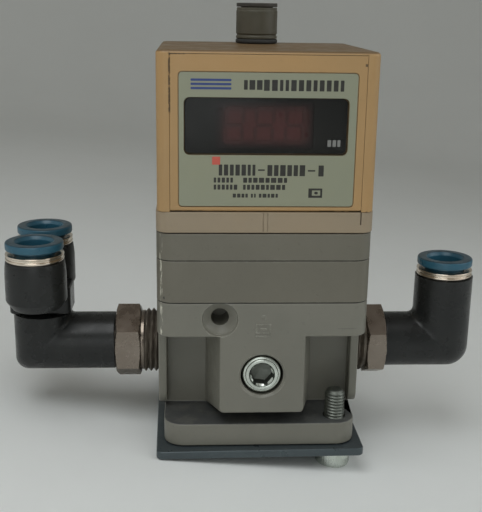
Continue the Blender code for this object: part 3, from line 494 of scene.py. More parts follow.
# a speck of painted shade in the seam at the flap's right side
SEAM_SPECK = ((21.1, 21.7, 0.12), (93.7, 94.3, 0.12))
COVER_FRONT = (-25.5, -24.0, 0.12)
LIT_AREA = ((-9.6, 9.2, 1.8), (76.6, 84.4, 1.6))
FRONT_FACES = ("Y", -0.8, -0.95)        # axis, and the least and the full turn towards it


def patch(tree, place, x, z):
    """High inside a soft-edged rectangle seen from the front."""
    return math_node(tree, "MULTIPLY", within(tree, place, "X", *x), within(tree, place, "Z", *z))


def corner_flecks(tree, place, tone):
    """Paint worn through to bright metal down the front left corner, with a few dark chips."""
    drawn_out = (1.0, 1.0, 0.16)
    stretched = add_node(tree, "ShaderNodeMapping", {"Vector": place, "Scale": drawn_out}).outputs[0]
    bare = span(tree, noise(tree, stretched, 1700.0, 4.0, 0.65), 0.53, 0.58)
    tone = laid_over(tree, tone, (0.62, 0.60, 0.50), near_line(tree, place, *WORN_CORNER), bare)
    chips = span(tree, noise(tree, place, 520.0, 3.0, 0.6), 0.64, 0.68)
    return laid_over(tree, tone, (0.03, 0.03, 0.028), near_line(tree, place, *CHIPPED_CORNER), chips)


def casting_marks(tree, place, tone):
    """Corner wear, painted blue-grey shade on the flange's upper side, and a faint scratch on the front."""
    tone = corner_flecks(tree, place, tone)
    # painted shade: the flange's upward faces are darkened unevenly to blue-grey
    film = span(tree, noise(tree, place, 260.0, 4.0, 0.6), 0.25, 0.6, 0.65, 1.0)
    tone = laid_over(tree, tone, (0.045, 0.050, 0.055), within(tree, place, "Z", *FLANGE_LEVEL),
                     facing(tree, "Z", 0.45, 0.9), film, 0.85)
    uneven = span(tree, noise(tree, place, 900.0, 3.0, 0.6), 0.42, 0.55)
    return laid_over(tree, tone, (0.06, 0.058, 0.05), patch(tree, place, *SCRATCH),
                     facing(tree, *FRONT_FACES), uneven, 0.5)


def cover_marks(tree, place, tone):
    """Short dark dashes of painted shade along the seam round the flap, and painted shade on top."""
    seam_shade = (0.05, 0.032, 0.016)
    # painted shade: dark dashes and a speck in the seam between the flap and the cover
    dashes = span(tree, noise(tree, place, 620.0, 3.0, 0.6), 0.42, 0.52)
    front = within(tree, place, "Y", *COVER_FRONT)
    for x, z in SEAM_DASHES:
        tone = laid_over(tree, tone, seam_shade, front, patch(tree, place, x, z), dashes, 0.85)
    speck = patch(tree, place, *SEAM_SPECK)
    tone = laid_over(tree, tone, seam_shade, front, speck, facing(tree, *FRONT_FACES), 0.85)
    # painted shade: the cover's upward faces are darkened
    film = span(tree, noise(tree, place, 50.0, 3.0, 0.5), 0.2, 0.8, 0.78, 0.88)
    return laid_over(tree, tone, (0.105, 0.066, 0.030), facing(tree, "Z", 0.3, 0.8), film)


def shaded_tops(tree, place, tone):
    """Painted shade that darkens the upper faces."""
    film = span(tree, noise(tree, place, 300.0, 4.0, 0.6), 0.25, 0.7, 0.5, 0.75)
    return laid_over(tree, tone, (0.016, 0.018, 0.018), facing(tree, "Z", 0.5, 0.9), film)


def led_fade(tree, place, tone):
    """The lit-up filter darkens softly towards its rim."""
    return mixed(tree, patch(tree, place, *LIT_AREA), (0.035, 0.025, 0.024), tone)


# ---- looks: name, colour, mottling colour, roughness ----------------------

# The hollow colour in these settings and in the looks below is painted shade with soiling, laid into corners
# and seams.
CASTING = {"tint_scale": 45.0, "grain": 0.22, "grain_scale": 2400.0, "wave": 0.5, "scratches": 0.08,
           "wear": (0.58, 0.57, 0.50), "hollow_shade_and_soiling": (0.035, 0.030, 0.024)}
MOULDING = {"grain": 0.16, "grain_scale": 3200.0, "wave": 0.3, "wear_width": 0.25, "wear_share": 0.35,
            "hollow_shade_reach": 0.8}
INK = {"tint_scale": 700.0, "grain": 0.02}


def make_window_look():
    """Smoked acrylic: dark, glossy and partly clear."""
    look = surface("smoked_acrylic", (0.012, 0.012, 0.012), (0.02, 0.019, 0.017), 0.12, rough_spread=0.05,
                   grain=0.02, coat=0.08, coat_roughness=0.08, specular=0.35)
    look.node_tree.nodes["Principled BSDF"].inputs["Alpha"].default_value = 0.28
    return look


def make_board_look():
    """Green solder mask over copper tracks."""
    look = surface("circuit_board_green", (0.02, 0.14, 0.06), (0.01, 0.09, 0.05), 0.35, grain=0.1)
    tree = look.node_tree
    colour = tree.nodes["Principled BSDF"].inputs["Base Color"]
    place = add_node(tree, "ShaderNodeTexCoord").outputs["Object"]
    tracks = add_node(tree, "ShaderNodeTexBrick", {"Vector": place, "Scale": 160.0, "Mortar Size": 0.06},
                      offset=0.35).outputs["Fac"]
    tree.links.new(laid_over(tree, colour.links[0].from_socket, (0.05, 0.26, 0.10), tracks, 0.5), colour)
    return look


def make_looks():
    return {
        "cast": surface("painted_casting", (0.194, 0.187, 0.155), (0.162, 0.158, 0.131), 0.42, **CASTING,
                        wear_share=0.55, hollow_shade_reach=1.2, hollow_shade_share=0.45, speckle=(0.15, 0.148, 0.122),
                        marks=casting_marks),
        "layer": surface("layer_casting", (0.156, 0.145, 0.113), (0.136, 0.127, 0.099), 0.42, **CASTING,
                         wear_share=0.4, hollow_shade_reach=0.8, hollow_shade_share=0.4, speckle=(0.12, 0.112, 0.09),
                         marks=corner_flecks),
        "beige": surface("aged_beige_plastic", (0.432, 0.262, 0.109), (0.377, 0.241, 0.109), 0.46, **MOULDING,
                         tint_scale=28.0, wear=(0.52, 0.37, 0.20), hollow_shade_and_soiling=(0.10, 0.065, 0.03),
                         hollow_shade_share=0.45, speckle=(0.38, 0.235, 0.10), marks=cover_marks),
        "band": surface("grey_beige_plastic", (0.328, 0.255, 0.171), (0.290, 0.236, 0.167), 0.48, **MOULDING,
                        tint_scale=36.0, wear=(0.44, 0.38, 0.28), hollow_shade_and_soiling=(0.08, 0.06, 0.035),
                        hollow_shade_share=0.8, speckle=(0.27, 0.215, 0.15)),
        "label": surface("label_film", (0.275, 0.281, 0.196), (0.257, 0.272, 0.203), 0.38, tint_scale=40.0,
                         grain=0.04, rough_spread=0.08, wear=(0.20, 0.19, 0.12), wear_width=0.3,
                         wear_share=0.5),
        "ink": surface("black_ink", (0.018, 0.017, 0.014), (0.035, 0.033, 0.026), 0.45, **INK),
        "blue_ink": surface("blue_ink", (0.025, 0.05, 0.20), (0.04, 0.07, 0.22), 0.45, **INK),
        "pale_ink": surface("pale_ink", (0.22, 0.22, 0.21), (0.16, 0.16, 0.15), 0.5, **INK),
        "sticker": surface("red_sticker", (0.58, 0.10, 0.07), (0.48, 0.10, 0.07), 0.45, tint_scale=500.0,
                           grain=0.03),
        "window": make_window_look(),
        "led_face": surface("led_filter", (0.26, 0.085, 0.08), (0.20, 0.066, 0.06), 0.35, grain=0.02,
                            marks=led_fade),
        "led_bar": surface("led_segment", (0.19, 0.075, 0.07), (0.15, 0.06, 0.055), 0.4, grain=0.02),
        "mask": surface("window_mask", (0.022, 0.023, 0.021), (0.03, 0.03, 0.027), 0.5, grain=0.03),
        "black": surface("black_plastic", (0.016, 0.017, 0.017), (0.024, 0.025, 0.024), 0.30, tint_scale=90.0,
                         rough_spread=0.09, grain=0.08, grain_scale=2600.0, wave=0.35,
                         wear=(0.10, 0.10, 0.095), wear_share=0.5, wear_width=0.3, scratches=0.12,
                         speckle=(0.05, 0.05, 0.045), specular=0.32),
        # the collets' upper faces are painted in shade
        "blue": surface("blue_plastic", (0.022, 0.100, 0.155), (0.028, 0.12, 0.178), 0.34, tint_scale=120.0,
                        grain=0.06, wear=(0.10, 0.28, 0.38), wear_share=0.6, wear_width=0.25,
                        speckle=(0.05, 0.17, 0.24), marks=shaded_tops),
        "brass": surface("nickel_plated_brass", (0.270, 0.230, 0.194), (0.207, 0.171, 0.140), 0.30, 0.9,
                         tint_scale=130.0, grain=0.12, wear=(0.42, 0.35, 0.27), wear_share=0.5,
                         hollow_shade_and_soiling=(0.06, 0.045, 0.03), hollow_shade_reach=1.0, hollow_shade_share=0.7, scratches=0.25),
        "ring": surface("bright_ring", (0.80, 0.72, 0.62), (0.66, 0.52, 0.40), 0.16, 1.0, tint_scale=220.0,
                        rough_spread=0.05, grain=0.05, hollow_shade_and_soiling=(0.20, 0.09, 0.05), hollow_shade_reach=0.4,
                        hollow_shade_share=0.7),
        "thread": surface("sealed_thread", (0.198, 0.171, 0.140), (0.081, 0.068, 0.052), 0.45, 0.6,
                          tint_scale=260.0, grain=0.3, hollow_shade_and_soiling=(0.04, 0.03, 0.022), hollow_shade_reach=0.8,
                          hollow_shade_share=0.8),
        "zinc": surface("zinc_steel", (0.68, 0.72, 0.665), (0.52, 0.56, 0.505), 0.26, 1.0, tint_scale=260.0,
                        grain=0.1, wear=(0.78, 0.78, 0.74), wear_share=0.6, wear_width=0.2,
                        hollow_shade_and_soiling=(0.12, 0.12, 0.10), hollow_shade_reach=0.6, hollow_shade_share=0.6, scratches=0.2),
        # painted shade: a darker zinc for threads that lie in shade
        "shaded_zinc": surface("shaded_zinc", (0.20, 0.213, 0.190), (0.14, 0.15, 0.134), 0.48, 1.0,
                             tint_scale=300.0, grain=0.2, hollow_shade_and_soiling=(0.05, 0.05, 0.04), hollow_shade_reach=0.5,
                             hollow_shade_share=0.8),
        "plate": surface("blackened_steel", (0.080, 0.100, 0.108), (0.060, 0.072, 0.080), 0.34, 0.5,
                         tint_scale=60.0, grain=0.15, wear=(0.34, 0.36, 0.35), wear_share=0.5,
                         wear_width=0.25, scratches=0.15, speckle=(0.12, 0.13, 0.13)),
        "rubber": surface("black_rubber", (0.018, 0.018, 0.017), (0.03, 0.03, 0.028), 0.7, grain=0.3),
        "olive": surface("olive_connector", (0.075, 0.066, 0.044), (0.058, 0.055, 0.036), 0.5,
                         tint_scale=120.0, grain=0.15, wear=(0.15, 0.135, 0.10), wear_share=0.4,
                         wear_width=0.25, hollow_shade_and_soiling=(0.035, 0.025, 0.015), hollow_shade_reach=1.0, hollow_shade_share=0.6),
        "dark_insert": surface("dark_insert", (0.030, 0.026, 0.020), (0.05, 0.04, 0.03), 0.5, grain=0.15),
        "board": make_board_look(),
        "key": surface("grey_key", (0.30, 0.30, 0.29), (0.24, 0.24, 0.23), 0.5, grain=0.2),
        "coil": surface("solenoid_case", (0.16, 0.16, 0.17), (0.12, 0.12, 0.13), 0.42, grain=0.2),
    }


LOOKS = make_looks()


# ---- base plate, screw and plug ------------------------------------------

PLATE_TURN = math.radians(0.9)
PLATE_RADIUS = 1.5
SCREW_SEAT = -0.15      # top of the head, just under the plate
SCREW_SOCKET = 4.0      # across the flats
M5_RADIUS = 2.5
M5_PITCH = 0.8
KNURLS = 40
KNURL_DEPTH = 0.07
PLUG_SOCKET = 5.0       # across the flats
PLUG_TURN = math.radians(8)
PLATE_HOLE = 2.9


def make_base_plate():
    x, y, z = extent("base_plate")
    spread = math.cos(PLATE_TURN) + math.sin(PLATE_TURN)
    side = (half(x) - PLATE_RADIUS) / spread + PLATE_RADIUS
    shape = slab((-side, side), (-side, side), z, PLATE_RADIUS, (0.3, 0.3))
    bmesh.ops.rotate(shape, verts=shape.verts, matrix=Matrix.Rotation(PLATE_TURN, 3, "Z"))
    plate = piece_from("base_plate_fine", moved(shape, middle(x), middle(y)))
    for sign in (1, -1):
        cut(plate, moved(rod(PLATE_HOLE, -1.0, 3.0), sign * HOLE_GRID, -sign * HOLE_GRID))
    settle(plate, LOOKS["plate"], "root", "blackened_steel", "base_plate")


def second_look(made, look, axis, low, high):
    """Give the faces between two places along an axis another look."""
    made.data.materials.append(LOOKS[look])
    for face in made.data.polygons:
        if low * MM < face.center[axis] < high * MM:
            face.material_index = 1


def make_plate_screw():
    """Socket-head screw, put in from below, with a knurled head and a rolled thread."""
    x, y, z = extent("plate_screw")
    head = half(x)
    end, tip = z
    socket = hex_radius(SCREW_SOCKET)
    mouth = hex_radius(SCREW_SOCKET + 0.5)

    def knurl(angle):
        return head - KNURL_DEPTH * (1 - math.cos(KNURLS * angle))

    outer = [(0, tip), (1.6, tip), (1.9, tip - 0.15), (2.05, tip - 0.5)]
    outer += reversed(thread_stations(M5_RADIUS, 0.4, M5_PITCH, SCREW_SEAT - 0.4, tip - 0.8, 10))
    outer += [(M5_RADIUS - 0.05, SCREW_SEAT), (head - 0.4, SCREW_SEAT), (head - 0.12, SCREW_SEAT - 0.1),
              (knurl, SCREW_SEAT - 0.45), (knurl, end + 0.6), (head - 0.15, end + 0.3),
              (head - 0.5, end + 0.05), (head - 0.8, end), (mouth, end), (socket, end + 0.3),
              (socket, end + 2.5), (0, end + 3.1)]
    screw = piece_from("plate_screw_fine", moved(turned(outer, 120), middle(x), middle(y)))
    settle(screw, LOOKS["zinc"], "root", "zinc_steel", "plate_screw")
    # the screw's thread is painted in shade with the darker zinc
    second_look(screw, "shaded_zinc", 2, SCREW_SEAT - 0.1, tip + 1.0)


def make_gauge_plug():
    """Hex-socket plug; its rim is stepped and its thread shows at the edge of the port."""
    x, y, _ = extent("gauge_plug")
    rim = half(x)
    front, back = y
    socket = hex_radius(PLUG_SOCKET, PLUG_TURN)
    profile = [(0, back), (rim - 0.4, back)]
    profile += reversed(thread_stations(rim, 0.3, 0.9, front + 1.2, back - 0.3, 8))
    profile += [(rim - 0.25, front + 1.05), (rim - 0.30, front + 0.55), (rim - 0.42, front + 0.42),
                (rim - 0.85, front + 0.36), (rim - 0.95, front + 0.12), (rim - 1.1, front),
                (3.35, front), (3.12, front + 0.08), (2.95, front + 0.45), (socket, front + 0.75),
                (socket, front + 3.4), (0.5, front + 4.0), (0, front + 4.0)]
    plug = piece_from("gauge_plug_fine", along_y(turned(profile, 120)))
    settle(plug, LOOKS["zinc"], "root", "zinc_steel", "gauge_plug")
    # the plug's thread is painted in shade with the darker zinc
    second_look(plug, "shaded_zinc", 1, front + 0.9, back)


# ---- body and layers -----------------------------------------------------

CORE_HALF_Y = 10.0
BLOCK_BOTTOM = 31.0
FLANGE_TOP = 7.95
FLANGE_BOTTOM = 2.2
FLANGE_HALF = 23.55
PAD_INNER_X = 22.9
PAD_HALF_Y = 14.0
PAD_BOTTOM = 8.8
BOSS_FRONT_HALF = 10.1  # half width at the port face, and at the core
BOSS_ROOT_HALF = 13.4
BOSS_FRONT_BOTTOM = 11.6
MAIN_PORT = 8.6         # radii of the bores
REAR_PORT = 7.55
GAUGE_PORT = 5.15
BORE_END = 12.5         # distance of their inner ends from the valve axis
CHAMBER = 7.5
VALVE_SEAT = 4.5
DIAPHRAGM_BORE = 15.0
TIE_HOLE = 1.85
FLANGE_HOLE = 2.8
LAYER_RADIUS = 4.0
BODY_TOP = 39.3


def port_boss(side, edge_y):
    """Boss that widens and drops towards the core, with two round lower corners."""
    rings = []
    for half_width, y, bottom in ((BOSS_FRONT_HALF, side * edge_y, BOSS_FRONT_BOTTOM),
                                  (BOSS_ROOT_HALF, side * (CORE_HALF_Y - 1.0), FLANGE_TOP - 0.5)):
        outline = [(half_width, BLOCK_BOTTOM + 2.0), (-half_width, BLOCK_BOTTOM + 2.0)]
        for start, sign in ((180, -1), (270, 1)):
            centre = sign * (half_width - 1.0)
            for step in range(6):
                angle = math.radians(start + 18 * step)
                outline.append((centre + math.cos(angle), bottom + 1.0 + math.sin(angle)))
        rings.append([(px, y, pz) for px, pz in outline])
    return loft(rings)


def port_pad(side, edge_x):
    depth = sorted((side * PAD_INNER_X, side * edge_x))
    return facing_side(slab((-PAD_HALF_Y, PAD_HALF_Y), (PAD_BOTTOM, 35.0), depth, 3.0, (0.0, 0.0)))


def port_cutter(radius, low, high, mouth):
    """Bore with a chamfered mouth; the mouth is the height of the face that it opens in."""
    if mouth == low:
        profile = [(0, low - 1.0), (radius + 1.5, low - 1.0), (radius, low + 0.5), (radius, high), (0, high)]
    else:
        profile = [(0, low), (radius, low), (radius, high - 0.5), (radius + 1.5, high + 1.0), (0, high + 1.0)]
    return turned(profile, FINE)


def make_main_body():
    x, y, _ = extent("main_body")
    front = y[0]
    body = piece_from("main_body_fine", slab(x, y, (BLOCK_BOTTOM, BODY_TOP), LAYER_RADIUS, (0.0, 0.0)))
    core = box((-PAD_INNER_X - 0.5, PAD_INNER_X + 0.5), (-CORE_HALF_Y, CORE_HALF_Y),
               (FLANGE_TOP - 1.0, BLOCK_BOTTOM + 1.0))
    flange_side = (-FLANGE_HALF, FLANGE_HALF)
    flange = slab(flange_side, flange_side, (FLANGE_BOTTOM, FLANGE_TOP), 5.0, (0.0, 0.0))
    join(body, core, flange, port_boss(-1, -front), port_boss(1, y[1]), port_pad(-1, -x[0]),
         port_pad(1, x[1]))
    bevelled(body, 0.35)

    cut(body, along_x(port_cutter(MAIN_PORT, x[0], -BORE_END, x[0])),
        along_x(port_cutter(MAIN_PORT, BORE_END, x[1], x[1])),
        along_y(port_cutter(REAR_PORT, 12.0, y[1], y[1])),
        along_y(port_cutter(GAUGE_PORT, front, -BORE_END, front)))
    bleed = [(0, -15.0), (2.15, -15.0), (2.15, front + 2.3), (2.3, front + 2.15), (2.75, front + 1.95),
             (3.35, front + 1.2), (4.0, front + 0.9), (4.1, front + 0.25), (4.35, front - 0.05),
             (4.35, front - 1.0), (0, front - 1.0)]
    cut(body, along_y(turned(bleed, FINE), *BLEED_PORT))
    valve_bore = [(0, 41.0), (DIAPHRAGM_BORE, 41.0), (DIAPHRAGM_BORE, 36.2), (CHAMBER, 36.2), (CHAMBER, 22.0),
                  (VALVE_SEAT, 22.0), (VALVE_SEAT, 20.0), (CHAMBER, 20.0), (CHAMBER, 0.0), (0, 0.0)]
    cut(body, turned(valve_bore, FINE))
    for sign in (1, -1):
        cut(body, moved(rod(FLANGE_HOLE, 0.0, 9.0), sign * HOLE_GRID, -sign * HOLE_GRID))
    settle(body, LOOKS["cast"], "root", "painted_casting", "main_body")
    make_flow_symbol(front)


def make_flow_symbol(front):
    """A raised sign on the front: a dot above a framed bar."""
    face = (front - 0.1, front + 0.2)
    wide = (-1.75, 1.85)
    bars = ((wide, (33.95, 34.3)), (wide, (31.0, 31.4)), ((-1.75, -1.4), (31.9, 34.0)),
            ((1.5, 1.85), (31.9, 34.0)), (wide, (31.85, 32.15)))
    strips = [panel(x, z, face, 0.1, 0.05) for x, z in bars]
    strips.append(panel((-0.7, 0.8), (32.75, 33.25), face, 0.2, 0.05))
    dot = [(0, face[0]), (0.45, face[0]), (0.6, face[0] + 0.1), (0.6, face[1]), (0, face[1])]
    strips.append(along_y(turned(dot, 32), 0.05, 35.9))
    settle(piece_from("flow_symbol", merged(strips)), LOOKS["cast"], "root", "painted_casting")


def tie_corners():
    return [(x * TIE_GRID, y * TIE_GRID) for x in (-1, 1) for y in (-1, 1)]


def make_layers():
    """Stacked layers; the sheets between them are set back, so that each shows as a fine line."""
    layers = (("diaphragm_housing", (39.5, 49.5), ((DIAPHRAGM_BORE, 39.0, 45.7), (1.5, 45.0, 50.0))),
              ("pilot_block", (49.7, 56.0), ()),
              ("diaphragm", (39.33, 39.47), ((DIAPHRAGM_BORE - 0.6, 39.0, 40.0),)),
              ("pilot_gasket", (49.53, 49.67), ((4.0, 49.0, 50.0),)))
    for node, z, bores in layers:
        sheet = node in ("diaphragm", "pilot_gasket")
        inset, edge = (0.15, 0.0) if sheet else (0.0, 0.15)
        x, y, _ = extent(node)
        width = (x[0] + inset, x[1] - inset)
        depth = (y[0] + inset, y[1] - inset)
        layer = piece_from(f"{node}_fine", slab(width, depth, z, LAYER_RADIUS - inset, (edge, edge)))
        for radius, low, high in bores:
            cut(layer, rod(radius, low, high, FINE))
        for place in tie_corners():
            cut(layer, moved(rod(TIE_HOLE, z[0] - 1.0, z[1] + 1.0), *place))
        look, slot = ("rubber", "black_rubber") if sheet else ("layer", "grey_casting")
        settle(layer, LOOKS[look], "root", slot, node)


# ---- cover and flap ------------------------------------------------------

RECESS_HALF = 21.75
RECESS_TOP = 96.1
RECESS_FLOOR = -22.5    # front of the fascia behind the flap
FASCIA_BACK = -21.1
SEAM = 0.06
FLAP_BACK = -23.0
FLAP_AXIS = (-24.0, 62.3)
BAND_WALL = 2.5
COVER_WALL = 2.0
LABEL_RADIUS = 0.8
WINDOW_RADIUS = 1.3
MASK_OPENING = ((-11.6, 10.4), (75.2, 85.8))


def wider(ends, margin):
    return (ends[0] - margin, ends[1] + margin)


def make_cover():
    x, y, z = extent("cover_base")
    band = piece_from("cover_base_fine", slab(x, y, z, 3.0, (0.35, 0.2)))
    cut(band, slab(wider(x, -BAND_WALL), wider(y, -BAND_WALL), wider(z, 1.0), 1.0))
    front = y[0]
    groove = panel((21.6, 21.95), (z[0] + 2.0, z[1] + 1.0), (front - 1.0, front + 0.5), 0.15)
    ribs = [panel((px - 0.12, px + 0.12), (z[0] + 0.4, z[1] + 1.0), (front - 1.0, front + 0.14), 0.1)
            for px in (-0.55, 0.45)]
    cut(band, groove, *ribs)
    settle(band, LOOKS["band"], "root", "grey_beige_plastic", "cover_base")

    x, y, z = extent("cover_shell")
    bottom = z[0] - 0.15
    cover = piece_from("cover_shell_fine", slab(x, y, (bottom, z[1]), 2.0, (0.0, 0.8), 5))
    inner = slab(wider(x, -COVER_WALL), (FASCIA_BACK, y[1] - COVER_WALL), (bottom - 1.0, z[1] - COVER_WALL),
                 1.0, (0.0, 0.5))
    recess = box((-RECESS_HALF, RECESS_HALF), (y[0] - 1.0, RECESS_FLOOR), (bottom - 1.0, RECESS_TOP))
    cut(cover, inner, recess)
    led_x, _, led_z = extent("led_display")
    cut(cover, panel(wider(led_x, 0.4), wider(led_z, 0.4), (-24.0, -20.0), 0.5))
    for node in ("down_key", "set_key", "up_key"):
        key_x, _, key_z = extent(node)
        cut(cover, along_y(rod(2.3, -24.0, -20.0), middle(key_x), middle(key_z)))
    pin_x = extent("front_flap")[0]
    cut(cover, along_x(rod(0.8, *wider(pin_x, 0.3)), *FLAP_AXIS))
    plug_x, plug_y, _ = extent("signal_connector")
    cut(cover, moved(rod(4.7, 90.0, 99.0, FINE), middle(plug_x), middle(plug_y)))
    bevelled(cover, 0.08, 2, 50.0)
    settle(cover, LOOKS["beige"], "root", "beige_plastic", "cover_shell")


def flap_outline(front, top):
    """(y, z) section of the flap: rounded upper front edge, and a knuckle round the hinge axis."""
    edge = 0.12
    outline = []
    for step in range(5):
        swing = math.pi / 2 * step / 4
        outline.append((front + edge - edge * math.cos(swing), top - edge + edge * math.sin(swing)))
    outline += [(FLAP_BACK - 0.2, top), (FLAP_BACK, top - 0.2)]
    radius = half((front, FLAP_BACK))
    knuckle = radius + 0.15
    cut_off = math.acos(radius / knuckle)
    axis_y, axis_z = FLAP_AXIS
    for step in range(21):
        angle = -cut_off - (math.pi - 2 * cut_off) * step / 20
        outline.append((axis_y + knuckle * math.cos(angle), axis_z + knuckle * math.sin(angle)))
    return outline


def make_flap():
    x, y, _ = extent("front_flap")
    front = y[0]
    side = RECESS_HALF - SEAM
    rings = []
    for reach, inset in ((-side, 0.08), (-side + 0.08, 0.0), (side - 0.08, 0.0), (side, 0.08)):
        outline = flap_outline(front, RECESS_TOP - SEAM)
        rings.append([(reach, max(py, front + inset), pz) for py, pz in outline])
    flap = piece_from("front_flap_fine", loft(rings))
    join(flap, along_x(rod(0.5, -half(x), half(x)), *FLAP_AXIS))

    lx, ly, lz = extent("front_label")
    seat = panel(wider(lx, 0.2), wider(lz, 0.2), (front - 1.0, front + 0.35), LABEL_RADIUS + 0.2)
    wx, wy, wz = extent("display_window")

    def opening():
        return panel(wider(wx, 0.2), wider(wz, 0.2), (front - 1.0, front + 3.0), WINDOW_RADIUS)

    cut(flap, seat, opening())
    settle(flap, LOOKS["beige"], "flap", "beige_plastic", "front_flap")

    label = piece_from("front_label_fine", panel(lx, lz, ly, LABEL_RADIUS, 0.05))
    cut(label, opening())
    settle(label, LOOKS["label"], "flap", "label_film", "front_label")

    pane = piece_from("display_window_fine", panel(wx, wz, wy, WINDOW_RADIUS - 0.1, 0.12))
    settle(pane, LOOKS["window"], "flap", "smoked_window", "display_window")
    back = wy[1]
    mask = piece_from("window_mask", panel(wx, wz, (back + 0.05, back + 0.3), 1.2, 0.05))
    cut(mask, panel(*MASK_OPENING, (back - 1.0, back + 2.0), 0.8))
    settle(mask, LOOKS["mask"], "flap", "black_plastic")
    make_print(ly[0], wy[0])


# Rows of blocks on the label: x ends, z ends, count, seed and gap.
PRINT_ROWS = (
    ((-5.45, -1.4), (88.5, 90.6), 3, 1, 0.38),
    ((-1.07, 16.6), (88.3, 90.7), 12, 2, 0.5),
    ((-10.8, -2.6), (69.5, 72.0), 7, 3, 0.38),
    ((0.1, 8.6), (69.45, 71.95), 6, 4, 0.38),
    ((11.6, 12.8), (69.4, 71.9), 1, 5, 0.38),
    ((-11.9, -7.6), (67.9, 69.05), 5, 684, 0.3),
    ((-5.3, 4.6), (67.9, 69.05), 8, 687, 0.3),
    ((-11.9, -6.6), (66.3, 67.45), 6, 669, 0.3),
    ((-5.3, 4.2), (66.3, 67.45), 9, 672, 0.3),
    ((-7.6, -4.2), (64.5, 65.4), 4, 6, 0.25),
    ((-3.5, -2.4), (64.5, 65.4), 2, 7, 0.25),
    ((-1.7, 2.6), (64.5, 65.4), 5, 8, 0.25),
)
# Plain bars on the label: x ends, z ends and corner radius. The last five are the small frame.
PRINT_BARS = (
    ((-2.0, -0.5), (70.6, 70.95), 0.1),
    ((9.2, 10.9), (70.5, 70.85), 0.1),
    ((9.5, 12.65), (64.5, 65.0), 0.08),
    ((9.5, 12.65), (66.2, 66.65), 0.08),
    ((9.5, 10.3), (64.9, 66.3), 0.08),
    ((12.2, 12.65), (64.9, 66.3), 0.08),
    ((10.85, 11.65), (65.3, 65.9), 0.25),
)
STRIPE_X = (-17.1, -8.2)
STRIPE_HEIGHTS = (88.5, 89.4, 90.3)
DOT = ((-12.3, -10.5), (71.95, 73.75))
UNIT_MARK = ((13.4, 16.3), (76.1, 77.6), 3, 9, 0.3)


def blocks(x, z, count, seed, gap, y):
    """A row of plain rounded blocks, uneven in width, where print would stand."""
    chance = random.Random(seed)
    widths = [chance.uniform(0.7, 1.3) for _ in range(count)]
    scale = (x[1] - x[0] - gap * (count - 1)) / sum(widths)
    shapes = []
    start = x[0]
    for width in widths:
        reach = start + width * scale
        shapes.append(panel((start, reach), z, y, 0.12, 0.005))
        start = reach + gap
    return shapes


def make_print(label_front, window_front):
    """Neutral marks in place of the print: rows of blocks, a colour dot and a small frame."""
    ink = (label_front - 0.012, label_front + 0.03)
    dark = [panel(x, z, ink, radius, 0.005) for x, z, radius in PRINT_BARS]
    for row in PRINT_ROWS:
        dark += blocks(*row, ink)
    settle(piece_from("label_marks", merged(dark)), LOOKS["ink"], "flap", "black_plastic")

    stripes = [panel(STRIPE_X, (low, low + 0.5), ink, 0.2, 0.005) for low in STRIPE_HEIGHTS]
    settle(piece_from("label_stripes", merged(stripes)), LOOKS["blue_ink"], "flap", "blue_plastic")
    dot = piece_from("colour_dot", panel(*DOT, (ink[0] - 0.01, ink[1]), 0.15, 0.005))
    settle(dot, LOOKS["sticker"], "flap", "label_film")
    unit = blocks(*UNIT_MARK, (window_front - 0.012, window_front + 0.03))
    settle(piece_from("window_mark", merged(unit)), LOOKS["pale_ink"], "flap", "label_film")


# ---- display and keys ----------------------------------------------------

DIGIT_SIZE = (4.6, 8.4)
DIGIT_PITCH = 6.8
DIGITS = 3
FIRST_DIGIT_X = -7.4


def segment_digit(centre_x, centre_z, y):
    """The seven bars of one unlit digit."""
    bar, slant = 0.75, 0.06
    wide, high = (size / 2 for size in DIGIT_SIZE)
    flat = [(0.0, z, wide - 0.5, bar / 2) for z in (high - bar / 2, 0.0, -high + bar / 2)]
    upright = [(side * (wide - bar / 2), z, bar / 2, high / 2 - 0.45)
               for side in (-1, 1) for z in (high / 2, -high / 2)]
    shapes = []
    for x, z, half_x, half_z in flat + upright:
        middle_x = centre_x + x + slant * z
        middle_z = centre_z + z
        ends_x = (middle_x - half_x, middle_x + half_x)
        shapes.append(panel(ends_x, (middle_z - half_z, middle_z + half_z), y, 0.3, 0.05))
    return shapes


def make_display():
    x, y, z = extent("led_display")
    case = piece_from("led_display_fine", panel(x, z, (y[0] + 0.15, y[1]), 0.3, 0.15))
    settle(case, LOOKS["led_face"], "root", "black_plastic", "led_display")
    bars = []
    for number in range(DIGITS):
        bars += segment_digit(FIRST_DIGIT_X + DIGIT_PITCH * number, middle(z), (y[0] + 0.02, y[0] + 0.3))
    settle(piece_from("led_digits", merged(bars)), LOOKS["led_bar"], "root", "black_plastic")

    cap = 2.0
    for node, body in (("down_key", "down_button"), ("set_key", "set_button"), ("up_key", "up_button")):
        kx, (front, back), kz = extent(node)
        profile = [(0, back), (half(kx), back), (half(kx), back - 0.6), (cap, back - 0.6),
                   (cap, front + 0.25), (cap - 0.4, front), (0, front + 0.12)]
        shape = along_y(turned(soften(profile, 0.15), COARSE), middle(kx), middle(kz))
        key = piece_from(f"{node}_fine", shape)
        settle(key, LOOKS["key"], body, "grey_key", node)


CONNECTOR_BORE = 4.3
STEM = (3.4, 4.4)       # radii of the part inside the cover
SHOULDER_Z = 98.1       # underside of the part above the cover
BORE_FLOOR_Z = 96.6
INSERT_FLOOR_Z = 98.6
INSERT_RIM_Z = 105.95
PIN_HOLE = 0.65
PINS = 4


